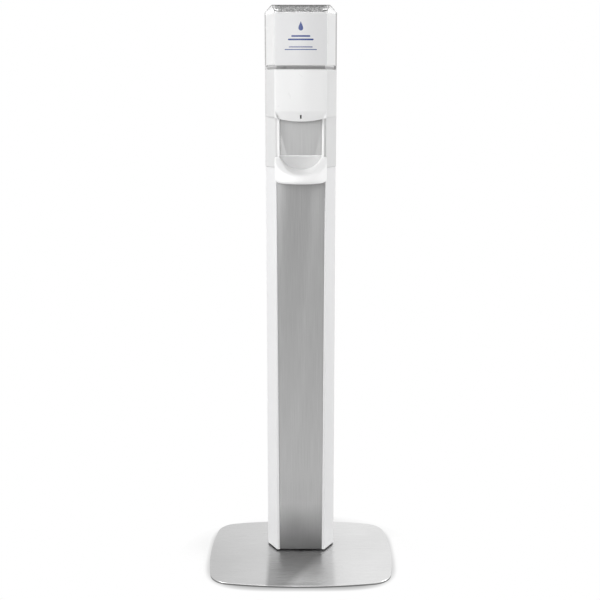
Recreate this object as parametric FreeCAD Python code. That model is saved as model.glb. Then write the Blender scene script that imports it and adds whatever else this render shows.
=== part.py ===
import FreeCAD, Part
import math
import os

# Hand sanitizer floor stand with a touch-free gel dispenser, in millimetres.
# Origin on the floor under the middle of the base plate, +Z up, the front faces -Y.

# Base plate and feet
PLATE_W = 422.0
PLATE_D = 334.0
PLATE_T = 5.0
PLATE_SIDE_BOW = 14.5
PLATE_FRONT_BOW = 21.2
PLATE_CORNER_R = 49.0
PLATE_EDGE_R = 2.0
PAD_R = 14.0
PAD_T = 1.5
PAD_INSET = 34.0

# Column section, shared by the column shell and the upper housing
FACE_W = 111.0
COLUMN_STEP = 0.9
FACE_Y = 2.3
SHOULDER_Y = 40.5
BACK_Y = 100.0
BACK_CORNER_R = 9.0
SHOULDER_R = 3.0
SHELL_WALL = 2.2
COLUMN_FOOT_GAP = 4.0
SEAM_Z = 906.5
SEAM_GAP = 0.6
HOUSING_W = 157.4
HOUSING_WALL = 3.0
HOUSING_TOWER_H = 215.3
HOUSING_TOP_CHAMFER = 12.0

# Brushed front panel, wider at its top
PANEL_FOOT_W = 97.8
PANEL_HEAD_W = 106.0
PANEL_T = 1.5
PANEL_SETBACK = 1.0
PANEL_GLUE = 0.2
PANEL_SIDE_GAP = 0.6
PANEL_FOOT_GAP = 0.4
PANEL_HEAD_GAP = 3.0

# Steel spine inside the column
SPINE_W = 80.0
SPINE_D = 38.0
SPINE_WALL = 2.0
SPINE_TOP_DROP = 27.0
FLANGE_W = 116.0
FLANGE_D = 50.0
FLANGE_T = 6.0
BOLT_R = 4.0
BOLT_HEAD_R = 7.5
BOLT_SPAN_X = 98.0
BOLT_SPAN_Y = 34.0

# Dispenser outline in plan
CREASE_W = 111.6
CREASE_Y = -30.0
FRONT_BULGE = 8.0
BODY_BACK_Y = 50.0
BODY_WALL = 2.4
BODY_FOOT_Z = 1017.0
BODY_TOP_Z = 1118.0
BACK_WALL_T = 4.0
BACK_WALL_DROP = 10.0
FLOOR_FRONT_Y = -23.0
SHELF_T = 3.0
SHELF_FRONT_Y = -21.5

# Front cover
COVER_WALL = 2.2
CREASE_Z = 1029.5
BAND_SETBACK = 9.0
BAND_FOOT_W = 92.0
COVER_LIP_CENTRE_Z = 1008.0
COVER_LIP_SIDE_Z = 1015.5
COVER_RETURN_W = 106.0
COVER_REAR_Y = -22.0
COVER_EDGE_D = 2.0
FLANK_GAP = 0.9
HINGE_Y = -14.0
HINGE_Z = 1021.0
HINGE_PIN_R = 1.5
HINGE_PIN_L = 9.0
HINGE_EAR_R = 3.6
HINGE_EAR_T = 3.0
LED_W = 3.2
LED_H = 8.0
LED_Z = 1018.0

# Refill bottle, its neck and the gel in it
BOTTLE_FOOT_Z = 1127.0
BOTTLE_TOP_Z = 1252.0
BOTTLE_BACK_Y = 45.5
BOTTLE_WALL = 1.5
BOTTLE_BASE_INSET = 5.0
BOTTLE_SHOULDER_X = 16.0
BOTTLE_SHOULDER_Z = 12.0
BOTTLE_BROW_Y = 24.0
BOTTLE_BROW_Z = 18.0
BOTTLE_EDGE_R = 3.0
GEL_LEVEL_Z = 1234.0
NECK_R = 15.0
NECK_FOOT_Z = 1098.0
COLLAR_R = 19.0
COLLAR_H = 22.0

# Pump, its actuator and the rack drive
PUMP_Y = -10.0
STEM_R = 5.0
STEM_TOP_Z = 1104.0
STEM_FOOT_Z = 1028.0
NOZZLE_R = 3.2
NOZZLE_FOOT_Z = 1015.0
FLANGE_DISC_R = 11.0
FLANGE_DISC_T = 3.0
FLANGE_DISC_Z = 1062.0
FORK_T = 3.0
PUMP_TRAVEL = 8.0
ROD_R = 1.5
ROD_X = 9.0
ROD_Y = 12.0
RACK_MODULE = 1.0
RACK_TEETH = 12
RACK_PINION_TEETH = 12
GEAR_MODULE = 0.8
GEAR_TEETH = 40
MOTOR_PINION_TEETH = 10
MESH_GAP = 0.2
GEAR_TIP = 0.8
GEAR_ROOT = 1.15
TOOTH_ROOT = 0.29
TOOTH_TIP = 0.12
GEAR_Z = 1052.0
RACK_X = -26.0
RACK_FACE_Y = (-1.0, 7.0)
GEAR_FACE_Y = (10.0, 15.0)
MOTOR_R = 10.0
MOTOR_L = 24.0
MOTOR_DIRECTION_DEG = 127.0
MOTOR_BOSS_R = 3.0
MOTOR_BOSS_L = 1.5
MOTOR_TAB_X = 5.0
MOTOR_TAB_W = 2.0
MOTOR_TAB_T = 0.8
MOTOR_TAB_L = 4.0
MOTOR_SHAFT_R = 1.0
MOTOR_EDGE_R = 1.2
FRAME_Y = 20.0
FRAME_T = 2.5
FRAME_SCREW_DROP = 14.0
FRAME_SCREW_RISE = 30.0
FRAME_SCREW_INSET = 8.0
FRAME_RIM = 6.0
FRAME_CORNER_R = 4.0
AXLE_R = 1.5

# Batteries, board, sensor and latch
CELL_R = 7.2
CELL_L = 50.0
CELL_PITCH_X = 16.0
CELL_PITCH_Y = 17.0
CELL_X = 34.0
CELL_Y = 12.0
HOLDER_WALL = 1.6
HOLDER_Z = 1034.0
BOARD_W = 56.0
BOARD_H = 30.0
BOARD_T = 1.6
BOARD_Y = -20.4
SENSOR_X = 20.0
SENSOR_W = 14.0
SENSOR_D = 8.0
LATCH_X = 38.0
LATCH_W = 10.0
LATCH_T = 4.0
LATCH_L = 20.0
LATCH_TRAVEL = 4.0

# Hand space frame and drip tray
RAIL_IN_W = 92.0
RAIL_OUT_W = 101.4
RAIL_DEPTH = 10.0
FRAME_WALL = 2.7
TRAY_BACK_TOP_Z = 934.0
TRAY_FOOT_Z = 876.0
TRAY_R = 57.0
TRAY_CENTRE_Y = -14.0
TRAY_RIM_BACK_Z = 931.0
TRAY_RIM_FRONT_Z = 893.0
TRAY_FLOOR_Z = 903.0
TRAY_FLOOR_R = 53.0
TRAY_FLOOR_SLOPE_DEG = 10.0
TRAY_RIM_T = 8.0
TRAY_RIM_R = 4.0
TRAY_BOTTOM_R = 9.0
TRAY_SHELF_T = 2.0
TRAY_SHELF_W = 50.0
TRAY_SHELF_R = 16.0
TRAY_SCREW_X = 18.0
TRAY_SCREW_UP = 14.0

# Screws
SCREW_R = 2.0
SCREW_HEAD_R = 3.8
SCREW_HEAD_T = 2.2
SCREW_L = 12.0

# Clearances
FIT = 0.3
RUN = 0.5

PLATE_Z = PAD_T
PLATE_TOP = PLATE_Z + PLATE_T
COLUMN_FOOT_Z = PLATE_TOP + COLUMN_FOOT_GAP
RECESS_Y = FACE_Y + PANEL_SETBACK + PANEL_T + PANEL_GLUE
FRONT_WALL_Y = RECESS_Y + SHELL_WALL
SPINE_BACK_Y = BACK_Y - HOUSING_WALL - FIT
SPINE_FRONT_Y = SPINE_BACK_Y - SPINE_D
PANEL_FOOT_Z = COLUMN_FOOT_Z + PANEL_FOOT_GAP
PANEL_HEAD_Z = BODY_FOOT_Z - PANEL_HEAD_GAP
HOUSING_FOOT_Z = SEAM_Z + SEAM_GAP
LEDGE_Z = BODY_FOOT_Z - FIT
HOUSING_TOP_Z = LEDGE_Z + HOUSING_TOWER_H
BACK_WALL_TOP_Z = HOUSING_TOP_Z - BACK_WALL_DROP
SPINE_TOP_Z = HOUSING_TOP_Z - SPINE_TOP_DROP
COLUMN_W = HOUSING_W - 2 * COLUMN_STEP
SHELF_Z = BODY_TOP_Z - SHELF_T
FLOOR_TOP_Z = BODY_FOOT_Z + BODY_WALL
BASE_FOOT_Z = BODY_TOP_Z + FIT
TRAY_BACK_Y = FACE_Y - FIT - FRAME_WALL - FIT
FRAME_FRONT_Y = FACE_Y - FIT - FRAME_WALL
RACK_PINION_R = RACK_MODULE * RACK_PINION_TEETH / 2
GEAR_R = GEAR_MODULE * GEAR_TEETH / 2
MOTOR_PINION_R = GEAR_MODULE * MOTOR_PINION_TEETH / 2
GEAR_X = RACK_X - RACK_PINION_R - MESH_GAP
MOTOR_ANGLE = math.radians(MOTOR_DIRECTION_DEG)
MOTOR_REACH = GEAR_R + MOTOR_PINION_R + MESH_GAP
MOTOR_X = GEAR_X + MOTOR_REACH * math.cos(MOTOR_ANGLE)
MOTOR_Z = GEAR_Z + MOTOR_REACH * math.sin(MOTOR_ANGLE)


def vec(x, y, z):
    return FreeCAD.Vector(x, y, z)


def box(x0, x1, y0, y1, z0, z1):
    return Part.makeBox(x1 - x0, y1 - y0, z1 - z0, vec(x0, y0, z0))


def post(x, y, z0, z1, r):
    return Part.makeCylinder(r, z1 - z0, vec(x, y, z0))


def pin_x(y, z, x0, x1, r):
    return Part.makeCylinder(r, x1 - x0, vec(x0, y, z), vec(1, 0, 0))


def pin_y(x, z, y0, y1, r):
    return Part.makeCylinder(r, y1 - y0, vec(x, y0, z), vec(0, 1, 0))


def fuse(shapes):
    whole = shapes[0]
    for shape in shapes[1:]:
        whole = whole.fuse(shape)
    return whole.removeSplitter()


def closed_face(points):
    return Part.Face(Part.makePolygon(points + [points[0]]))


def prism(points, z0, z1):
    face = closed_face([vec(x, y, z0) for x, y in points])
    return face.extrude(vec(0, 0, z1 - z0))


def prism_y(points, y0, y1):
    face = closed_face([vec(x, y0, z) for x, z in points])
    return face.extrude(vec(0, y1 - y0, 0))


def prism_x(points, x0, x1):
    face = closed_face([vec(x0, y, z) for y, z in points])
    return face.extrude(vec(x1 - x0, 0, 0))


def upright_edges(shape, test):
    found = []
    for edge in shape.Edges:
        ends = [v.Point for v in edge.Vertexes]
        if len(ends) != 2:
            continue
        run = ends[1] - ends[0]
        if abs(run.x) < 0.01 and abs(run.y) < 0.01 and test(ends[0].x, ends[0].y):
            found.append(edge)
    return found


def flat_edges(shape, z, test=None):
    found = []
    for edge in shape.Edges:
        low = edge.BoundBox.ZMin
        high = edge.BoundBox.ZMax
        if abs(low - z) < 0.01 and abs(high - z) < 0.01:
            middle = edge.CenterOfMass
            if test is None or test(middle.x, middle.y):
                found.append(edge)
    return found


def arc_edge(a, b, c):
    return Part.Arc(a, b, c).toShape()


# Base plate and feet


def plate_outline(z):
    """Four bowed sides; the corners are rounded after the plate is extruded."""
    half_w = PLATE_W / 2
    half_d = PLATE_D / 2
    cx = half_w - PLATE_SIDE_BOW
    cy = half_d - PLATE_FRONT_BOW
    front = arc_edge(vec(-cx, -cy, z), vec(0, -half_d, z), vec(cx, -cy, z))
    right = arc_edge(vec(cx, -cy, z), vec(half_w, 0, z), vec(cx, cy, z))
    back = arc_edge(vec(cx, cy, z), vec(0, half_d, z), vec(-cx, cy, z))
    left = arc_edge(vec(-cx, cy, z), vec(-half_w, 0, z), vec(-cx, -cy, z))
    return Part.Face(Part.Wire([front, right, back, left]))


def bolt_places():
    middle_y = (SPINE_FRONT_Y + SPINE_BACK_Y) / 2
    for sx in (-1, 1):
        for sy in (-1, 1):
            yield sx * BOLT_SPAN_X / 2, middle_y + sy * BOLT_SPAN_Y / 2


def bolt_head(x, y, extra=0.0):
    depth = BOLT_HEAD_R - BOLT_R
    cone = Part.makeCone(BOLT_HEAD_R + extra, BOLT_R + extra, depth, vec(x, y, PLATE_Z))
    return cone


def base_plate():
    plate = plate_outline(PLATE_Z).extrude(vec(0, 0, PLATE_T))
    plate = plate.makeFillet(PLATE_CORNER_R, upright_edges(plate, lambda x, y: True))
    plate = plate.makeFillet(PLATE_EDGE_R, flat_edges(plate, PLATE_TOP))
    for x, y in bolt_places():
        plate = plate.cut(post(x, y, PLATE_Z, PLATE_TOP, BOLT_R + FIT))
        plate = plate.cut(bolt_head(x, y, FIT))
    return plate


def foot_pads():
    x = PLATE_W / 2 - PAD_INSET - PAD_R
    y = PLATE_D / 2 - PAD_INSET - PAD_R
    pads = []
    for sx in (-1, 1):
        for sy in (-1, 1):
            pad = post(sx * x, sy * y, 0, PAD_T, PAD_R)
            pads.append(pad.makeFillet(PAD_T / 3, flat_edges(pad, 0)))
    return Part.makeCompound(pads)


def base_bolts():
    bolts = []
    for x, y in bolt_places():
        shank = post(x, y, PLATE_Z, PLATE_TOP + FLANGE_T, BOLT_R)
        bolts.append(fuse([shank, bolt_head(x, y)]))
    return Part.makeCompound(bolts)


def spine():
    """Steel tube welded to its foot flange."""
    middle_y = (SPINE_FRONT_Y + SPINE_BACK_Y) / 2
    flange = box(-FLANGE_W / 2, FLANGE_W / 2, middle_y - FLANGE_D / 2, middle_y + FLANGE_D / 2,
                 PLATE_TOP, PLATE_TOP + FLANGE_T)
    for x, y in bolt_places():
        flange = flange.cut(post(x, y, PLATE_TOP, PLATE_TOP + FLANGE_T, BOLT_R))
    tube = box(-SPINE_W / 2, SPINE_W / 2, SPINE_FRONT_Y, SPINE_BACK_Y, PLATE_TOP, SPINE_TOP_Z)
    tube = tube.makeFillet(SPINE_WALL * 2, upright_edges(tube, lambda x, y: True))
    steel = fuse([flange, tube])
    bore = box(-SPINE_W / 2 + SPINE_WALL, SPINE_W / 2 - SPINE_WALL, SPINE_FRONT_Y + SPINE_WALL,
               SPINE_BACK_Y - SPINE_WALL, PLATE_TOP, SPINE_TOP_Z)
    steel = steel.cut(bore.makeFillet(SPINE_WALL, upright_edges(bore, lambda x, y: True)))
    for z in column_screw_heights() + housing_screw_heights():
        for x in screw_columns():
            steel = steel.cut(pin_y(x, z, SPINE_BACK_Y - SPINE_WALL, SPINE_BACK_Y, SCREW_R))
    return steel


# Column


def column_points(width, inset=0.0):
    """Plan of the column: flat face, two chamfers, straight sides and back."""
    side = (width - 2 * inset) / 2
    slope = (width - FACE_W) / 2 / (SHOULDER_Y - FACE_Y)
    lean = inset * (math.hypot(1, slope) - slope)
    face = FACE_W / 2 - lean
    return [(-face, FACE_Y + inset), (face, FACE_Y + inset), (side, SHOULDER_Y + inset / 4),
            (side, BACK_Y - inset), (-side, BACK_Y - inset), (-side, SHOULDER_Y + inset / 4)]


def clipped_plate(half, z0, z1, y0, y1):
    """Upright block with its two top corners cut off."""
    clip = HOUSING_TOP_CHAMFER
    return prism_y([(-half, z0), (half, z0), (half, z1 - clip), (half - clip, z1), (clip - half, z1),
                    (-half, z1 - clip)], y0, y1)


def column_solid(width, z0, z1, inset=0.0):
    solid = prism(column_points(width, inset), z0, z1)
    corner = max(BACK_CORNER_R - inset, 1.0)
    back = upright_edges(solid, lambda x, y: y > SHOULDER_Y + 10)
    solid = solid.makeFillet(corner, back)
    shoulders = upright_edges(solid, lambda x, y: abs(y - SHOULDER_Y) < 2)
    return solid.makeFillet(SHOULDER_R, shoulders)


def panel_width(z):
    share = (z - PANEL_FOOT_Z) / (PANEL_HEAD_Z - PANEL_FOOT_Z)
    return PANEL_FOOT_W + share * (PANEL_HEAD_W - PANEL_FOOT_W)


def panel_slab(y0, y1, z0, z1, extra):
    low = panel_width(z0) / 2 + extra
    high = panel_width(z1) / 2 + extra
    return prism_y([(-low, z0), (low, z0), (high, z1), (-high, z1)], y0, y1)


def column_shell():
    shell = column_solid(COLUMN_W, COLUMN_FOOT_Z, SEAM_Z)
    room = column_solid(COLUMN_W, COLUMN_FOOT_Z, SEAM_Z, SHELL_WALL)
    shell = shell.cut(room)
    # The front wall steps back behind the panel and two webs hold the spine.
    inner = COLUMN_W / 2 - SHELL_WALL
    face = FACE_W / 2 - SHELL_WALL
    lining = box(-face, face, FACE_Y + SHELL_WALL / 2, FRONT_WALL_Y, COLUMN_FOOT_Z, SEAM_Z)
    web_front = SPINE_FRONT_Y - FIT - SHELL_WALL
    web = box(-inner - FIT, inner + FIT, web_front, SPINE_FRONT_Y - FIT, COLUMN_FOOT_Z, SEAM_Z)
    parts = [shell, lining, web]
    for side in (-1, 1):
        near = SPINE_W / 2 + FIT
        xs = sorted((side * near, side * (near + SHELL_WALL)))
        parts.append(box(xs[0], xs[1], web_front, BACK_Y - SHELL_WALL / 2, COLUMN_FOOT_Z, SEAM_Z))
        rib = sorted((side * FACE_W / 4, side * (FACE_W / 4 + SHELL_WALL)))
        parts.append(box(rib[0], rib[1], FRONT_WALL_Y - FIT, web_front + FIT, COLUMN_FOOT_Z, SEAM_Z))
    shell = fuse(parts)
    notch = FLANGE_T + PLATE_TOP + FIT - COLUMN_FOOT_Z
    foot = box(-FLANGE_W / 2 - FIT, FLANGE_W / 2 + FIT, SPINE_FRONT_Y - (FLANGE_D - SPINE_D) / 2 - FIT,
               SPINE_BACK_Y + (FLANGE_D - SPINE_D) / 2 + FIT, COLUMN_FOOT_Z, COLUMN_FOOT_Z + notch)
    shell = shell.cut(foot)
    shell = shell.cut(panel_slab(0, RECESS_Y, PANEL_FOOT_Z - PANEL_SIDE_GAP, SEAM_Z, PANEL_SIDE_GAP))
    for z in column_screw_heights():
        for x in screw_columns():
            shell = shell.cut(pin_y(x, z, BACK_Y - HOUSING_WALL - FIT, BACK_Y, SCREW_R + FIT))
    for x, z in tray_screw_places():
        shell = shell.cut(pin_y(x, z, FACE_Y, FRONT_WALL_Y, SCREW_R + FIT))
    return shell


def front_panel():
    y0 = FACE_Y + PANEL_SETBACK
    panel = panel_slab(y0, y0 + PANEL_T, PANEL_FOOT_Z, PANEL_HEAD_Z, 0)
    for x, z in tray_screw_places():
        panel = panel.cut(pin_y(x, z, y0, y0 + PANEL_T, SCREW_R + FIT))
    return panel


def screw_columns():
    return (-SPINE_W / 4, SPINE_W / 4)


def column_screw_heights():
    reach = SEAM_Z - COLUMN_FOOT_Z
    return (COLUMN_FOOT_Z + 0.1 * reach, COLUMN_FOOT_Z + 0.5 * reach, COLUMN_FOOT_Z + 0.9 * reach)


def housing_screw_heights():
    return (BODY_FOOT_Z + 20, BACK_WALL_TOP_Z - 30)


def back_screw(x, z):
    """Pan-head screw driven forward through the back wall into the spine."""
    head = pin_y(x, z, BACK_Y, BACK_Y + SCREW_HEAD_T, SCREW_HEAD_R)
    head = head.makeFillet(SCREW_HEAD_T / 2, [e for e in head.Edges if e.BoundBox.YMin > BACK_Y + FIT])
    return fuse([head, pin_y(x, z, SPINE_BACK_Y - SPINE_WALL, BACK_Y, SCREW_R)])


def column_screws():
    return Part.makeCompound([back_screw(x, z) for z in column_screw_heights() for x in screw_columns()])


def housing_screws():
    return Part.makeCompound([back_screw(x, z) for z in housing_screw_heights() for x in screw_columns()])


def upper_housing():
    """Moulded head of the column: full section up to the ledge, a narrow box above it."""
    low = column_solid(HOUSING_W, HOUSING_FOOT_Z, LEDGE_Z)
    mount_y = BODY_BACK_Y + FIT
    tower = clipped_plate(HOUSING_W / 2, LEDGE_Z - HOUSING_WALL, HOUSING_TOP_Z, mount_y, BACK_Y)
    tower = tower.makeFillet(BACK_CORNER_R, upright_edges(tower, lambda x, y: y > mount_y + 1))
    housing = fuse([low, tower])
    low_room = column_solid(HOUSING_W, HOUSING_FOOT_Z, LEDGE_Z - HOUSING_WALL, HOUSING_WALL)
    face = FACE_W / 2 - HOUSING_WALL
    lining = box(-face, face, FACE_Y, FRONT_WALL_Y, HOUSING_FOOT_Z, LEDGE_Z - HOUSING_WALL)
    side = HOUSING_W / 2 - HOUSING_WALL
    tower_room = box(-side, side, mount_y + HOUSING_WALL, BACK_Y - HOUSING_WALL,
                     LEDGE_Z - 2 * HOUSING_WALL, HOUSING_TOP_Z - HOUSING_WALL - HOUSING_TOP_CHAMFER)
    housing = housing.cut(low_room.cut(lining)).cut(tower_room)
    inner = side + FIT
    web_front = SPINE_FRONT_Y - FIT - HOUSING_WALL
    web = box(-inner, inner, web_front, SPINE_FRONT_Y - FIT, HOUSING_FOOT_Z, LEDGE_Z - HOUSING_WALL)
    parts = [housing, web]
    for sign in (-1, 1):
        near = SPINE_W / 2 + FIT
        xs = sorted((sign * near, sign * (near + HOUSING_WALL)))
        parts.append(box(xs[0], xs[1], SPINE_FRONT_Y - FIT - FIT, BACK_Y - HOUSING_WALL + FIT,
                         HOUSING_FOOT_Z, HOUSING_TOP_Z - HOUSING_WALL - HOUSING_TOP_CHAMFER + FIT))
    housing = fuse(parts)
    housing = housing.cut(panel_slab(0, RECESS_Y, HOUSING_FOOT_Z, PANEL_HEAD_Z + PANEL_SIDE_GAP,
                                     PANEL_SIDE_GAP))
    for z in housing_screw_heights():
        for x in screw_columns():
            housing = housing.cut(pin_y(x, z, SPINE_BACK_Y, BACK_Y, SCREW_R + FIT))
    for x, z in body_screw_places():
        housing = housing.cut(pin_y(x, z, mount_y, mount_y + HOUSING_WALL, SCREW_R))
    return housing


# Dispenser body


def flank_lean():
    """Sideways run of a flank for each millimetre of depth."""
    return (HOUSING_W - CREASE_W) / 2 / (SHOULDER_Y - CREASE_Y)


def flank_x(y):
    return CREASE_W / 2 + min(y - CREASE_Y, SHOULDER_Y - CREASE_Y) * flank_lean()


def body_screw_places():
    return [(x, z) for x in (-HOUSING_W / 3, HOUSING_W / 3) for z in (BODY_TOP_Z - 14, BACK_WALL_TOP_Z - 16)]


def flank(side, z0, z1):
    front_y = CREASE_Y + COVER_EDGE_D + FLANK_GAP
    outer = [(flank_x(front_y), front_y), (HOUSING_W / 2, SHOULDER_Y), (HOUSING_W / 2, BODY_BACK_Y)]
    inner = [(x - BODY_WALL, y) for x, y in reversed(outer)]
    return prism([(side * x, y) for x, y in outer + inner], z0, z1)


def between_flanks(y0, y1, z0, z1):
    a = flank_x(y0) - BODY_WALL / 2
    b = HOUSING_W / 2 - BODY_WALL / 2
    return prism([(-a, y0), (a, y0), (b, SHOULDER_Y), (b, y1), (-b, y1), (-b, SHOULDER_Y)], z0, z1)


def dispenser_body():
    wall_y = BODY_BACK_Y - BACK_WALL_T
    parts = [flank(side, BODY_FOOT_Z, BODY_TOP_Z) for side in (-1, 1)]
    parts.append(between_flanks(FLOOR_FRONT_Y, BODY_BACK_Y, BODY_FOOT_Z, FLOOR_TOP_Z))
    parts.append(between_flanks(SHELF_FRONT_Y, BODY_BACK_Y, SHELF_Z, BODY_TOP_Z))
    half = HOUSING_W / 2
    parts.append(clipped_plate(half, BODY_FOOT_Z, BACK_WALL_TOP_Z, wall_y, BODY_BACK_Y))
    for side in (-1, 1):
        x = side * (COVER_RETURN_W / 2 - COVER_WALL - RUN - HINGE_EAR_T - HINGE_EAR_T - RUN)
        xs = sorted((x, x + side * HINGE_EAR_T))
        ear = fuse([box(xs[0], xs[1], HINGE_Y - HINGE_EAR_R, HINGE_Y + HINGE_EAR_R, FLOOR_TOP_Z - FIT, HINGE_Z),
                    pin_x(HINGE_Y, HINGE_Z, xs[0], xs[1], HINGE_EAR_R)])
        parts.append(ear)
        rail = sorted((LATCH_X + side * (LATCH_W / 2 + FIT), LATCH_X + side * (LATCH_W / 2 + FIT + BODY_WALL)))
        parts.append(box(rail[0], rail[1], SHELF_FRONT_Y, SHELF_FRONT_Y + LATCH_L + LATCH_TRAVEL,
                         SHELF_Z - LATCH_T - FIT, SHELF_Z + FIT))
    body = fuse(parts)
    slot_r = COLLAR_R + RUN
    body = body.cut(post(0, PUMP_Y, SHELF_Z, BODY_TOP_Z, slot_r))
    body = body.cut(box(-slot_r, slot_r, SHELF_FRONT_Y - RUN, PUMP_Y, SHELF_Z, BODY_TOP_Z))
    body = body.cut(post(0, PUMP_Y, BODY_FOOT_Z, FLOOR_TOP_Z, FLANGE_DISC_R))
    body = body.cut(box(SENSOR_X - SENSOR_W / 2 - FIT, SENSOR_X + SENSOR_W / 2 + FIT,
                        PUMP_Y - SENSOR_D / 2 - FIT, PUMP_Y + SENSOR_D / 2 + FIT, BODY_FOOT_Z, FLOOR_TOP_Z))
    body = body.cut(pin_x(HINGE_Y, HINGE_Z, -COVER_RETURN_W / 2, COVER_RETURN_W / 2, HINGE_PIN_R))
    for side in (-1, 1):
        lug_x = COVER_RETURN_W / 2 - COVER_WALL - HINGE_EAR_T - 2 * RUN
        notch = sorted((side * lug_x, side * (COVER_RETURN_W / 2 + RUN)))
        body = body.cut(box(notch[0], notch[1], FLOOR_FRONT_Y, HINGE_Y + HINGE_EAR_R + RUN,
                            BODY_FOOT_Z, FLOOR_TOP_Z))
        body = body.cut(post(side * ROD_X, ROD_Y, BODY_FOOT_Z, FLOOR_TOP_Z, ROD_R))
    for x, z in body_screw_places():
        body = body.cut(pin_y(x, z, wall_y, BODY_BACK_Y, SCREW_R + FIT))
        body = body.cut(pin_y(x, z, wall_y, wall_y + SCREW_HEAD_T + FIT, SCREW_HEAD_R + FIT))
    for x, z in frame_screw_places():
        body = body.cut(pin_y(x, z, wall_y, BODY_BACK_Y, SCREW_R + FIT))
        body = body.cut(pin_y(x, z, BODY_BACK_Y - SCREW_HEAD_T - FIT, BODY_BACK_Y, SCREW_HEAD_R + FIT))
    return body


def body_screws():
    """Screws from inside the dispenser into the upper housing."""
    screws = []
    for x, z in body_screw_places():
        y = BODY_BACK_Y - BACK_WALL_T + FIT
        head = pin_y(x, z, y, y + SCREW_HEAD_T, SCREW_HEAD_R)
        screws.append(fuse([head, pin_y(x, z, y, BODY_BACK_Y + FIT + HOUSING_WALL, SCREW_R)]))
    return Part.makeCompound(screws)


# Front cover


def cover_side(inset):
    """Right-hand corners of the cover in plan; the room inside keeps within the returns."""
    tuck = COVER_RETURN_W / 2 - inset
    if inset:
        return [(tuck, CREASE_Y + inset), (tuck, COVER_REAR_Y + RUN)]
    step = CREASE_Y + COVER_EDGE_D
    return [(CREASE_W / 2, CREASE_Y), (flank_x(step), step), (tuck, step), (tuck, COVER_REAR_Y)]


def cover_plan(z, inset):
    right = cover_side(inset)
    corners = [vec(x, y, z) for x, y in right] + [vec(-x, y, z) for x, y in reversed(right)]
    front = arc_edge(corners[-1], vec(0, CREASE_Y - FRONT_BULGE + inset, z), corners[0])
    return Part.Face(Part.Wire([front] + Part.makePolygon(corners).Edges))


def band_cutter(inset):
    """What stands in front of the leaning band, within a window that narrows downwards."""
    low = COVER_LIP_CENTRE_Z - inset
    drop = CREASE_Z - low
    setback = BAND_SETBACK * drop / (CREASE_Z - COVER_LIP_CENTRE_Z)
    leaning = cover_plan(CREASE_Z, inset).extrude(vec(0, setback, -drop))
    head = CREASE_W / 2 + inset
    foot = BAND_FOOT_W / 2 + inset
    window = prism_y([(-head, CREASE_Z), (head, CREASE_Z), (foot, low), (-foot, low)],
                     CREASE_Y - 2 * FRONT_BULGE, CREASE_Y + BAND_SETBACK)
    return window.cut(leaning)


def cover_solid(inset):
    """Cover form: bulged face, leaning band under the straight crease, returns that reach behind it."""
    z0 = COVER_LIP_CENTRE_Z - inset
    z1 = BODY_TOP_Z - FIT - inset
    return cover_plan(z0, inset).extrude(vec(0, 0, z1 - z0)).cut(band_cutter(inset))


def lip_cutter():
    low = COVER_LIP_CENTRE_Z
    half = CREASE_W / 2
    near = CREASE_Y - 2 * FRONT_BULGE
    smile = arc_edge(vec(-half, near, COVER_LIP_SIDE_Z), vec(0, near, low), vec(half, near, COVER_LIP_SIDE_Z))
    corners = [vec(half, near, COVER_LIP_SIDE_Z), vec(CREASE_W, near, COVER_LIP_SIDE_Z),
               vec(CREASE_W, near, low - CREASE_W), vec(-CREASE_W, near, low - CREASE_W),
               vec(-CREASE_W, near, COVER_LIP_SIDE_Z), vec(-half, near, COVER_LIP_SIDE_Z)]
    face = Part.Face(Part.Wire([smile] + Part.makePolygon(corners).Edges))
    return face.extrude(vec(0, CREASE_W, 0))


def front_cover():
    cover = cover_solid(0).cut(cover_solid(COVER_WALL)).cut(lip_cutter())
    cover = cover.cut(post(0, PUMP_Y, SHELF_Z - COLLAR_H, BODY_TOP_Z, COLLAR_R + 2 * RUN))
    parts = [cover]
    for side in (-1, 1):
        x = side * (COVER_RETURN_W / 2 - COVER_WALL)
        xs = sorted((x, x - side * (RUN + HINGE_EAR_T)))
        lug = fuse([pin_x(HINGE_Y, HINGE_Z, xs[0], xs[1], HINGE_EAR_R),
                    box(xs[0], xs[1], COVER_REAR_Y - COVER_WALL, HINGE_Y, HINGE_Z - HINGE_EAR_R,
                        HINGE_Z + HINGE_EAR_R)])
        wall = sorted((side * COVER_RETURN_W / 2, x))
        tab = box(wall[0], wall[1], COVER_REAR_Y - COVER_WALL, COVER_REAR_Y, HINGE_Z - HINGE_EAR_R,
                  HINGE_Z + HINGE_EAR_R)
        parts.append(lug)
        parts.append(tab)
    rib_y = SHELF_FRONT_Y - FIT
    parts.append(box(LATCH_X - LATCH_W / 2, LATCH_X + LATCH_W / 2, rib_y - COVER_WALL, rib_y - FIT,
                     SHELF_Z - 2 * LATCH_T, BODY_TOP_Z - FIT - COVER_WALL + FIT))
    cover = fuse(parts)
    cover = cover.cut(pin_x(HINGE_Y, HINGE_Z, -COVER_RETURN_W / 2, COVER_RETURN_W / 2, HINGE_PIN_R + FIT / 2))
    slot = box(-LED_W / 2 - FIT / 2, LED_W / 2 + FIT / 2, CREASE_Y - 2 * FRONT_BULGE, CREASE_Y + FRONT_BULGE,
               LED_Z - LED_H / 2 - FIT / 2, LED_Z + LED_H / 2 + FIT / 2)
    return cover.cut(slot)


def led_lens():
    """Small dark light pipe, flush with the sloped band of the cover."""
    lens = box(-LED_W / 2, LED_W / 2, CREASE_Y - 2 * FRONT_BULGE, CREASE_Y + FRONT_BULGE,
               LED_Z - LED_H / 2, LED_Z + LED_H / 2)
    return lens.common(cover_solid(0)).cut(cover_solid(COVER_WALL + FIT))


def hinge_pins():
    pins = []
    for side in (-1, 1):
        outer = side * (COVER_RETURN_W / 2 - COVER_WALL - FIT)
        xs = sorted((outer, outer - side * HINGE_PIN_L))
        pins.append(pin_x(HINGE_Y, HINGE_Z, xs[0], xs[1], HINGE_PIN_R))
    return Part.makeCompound(pins)


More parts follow.
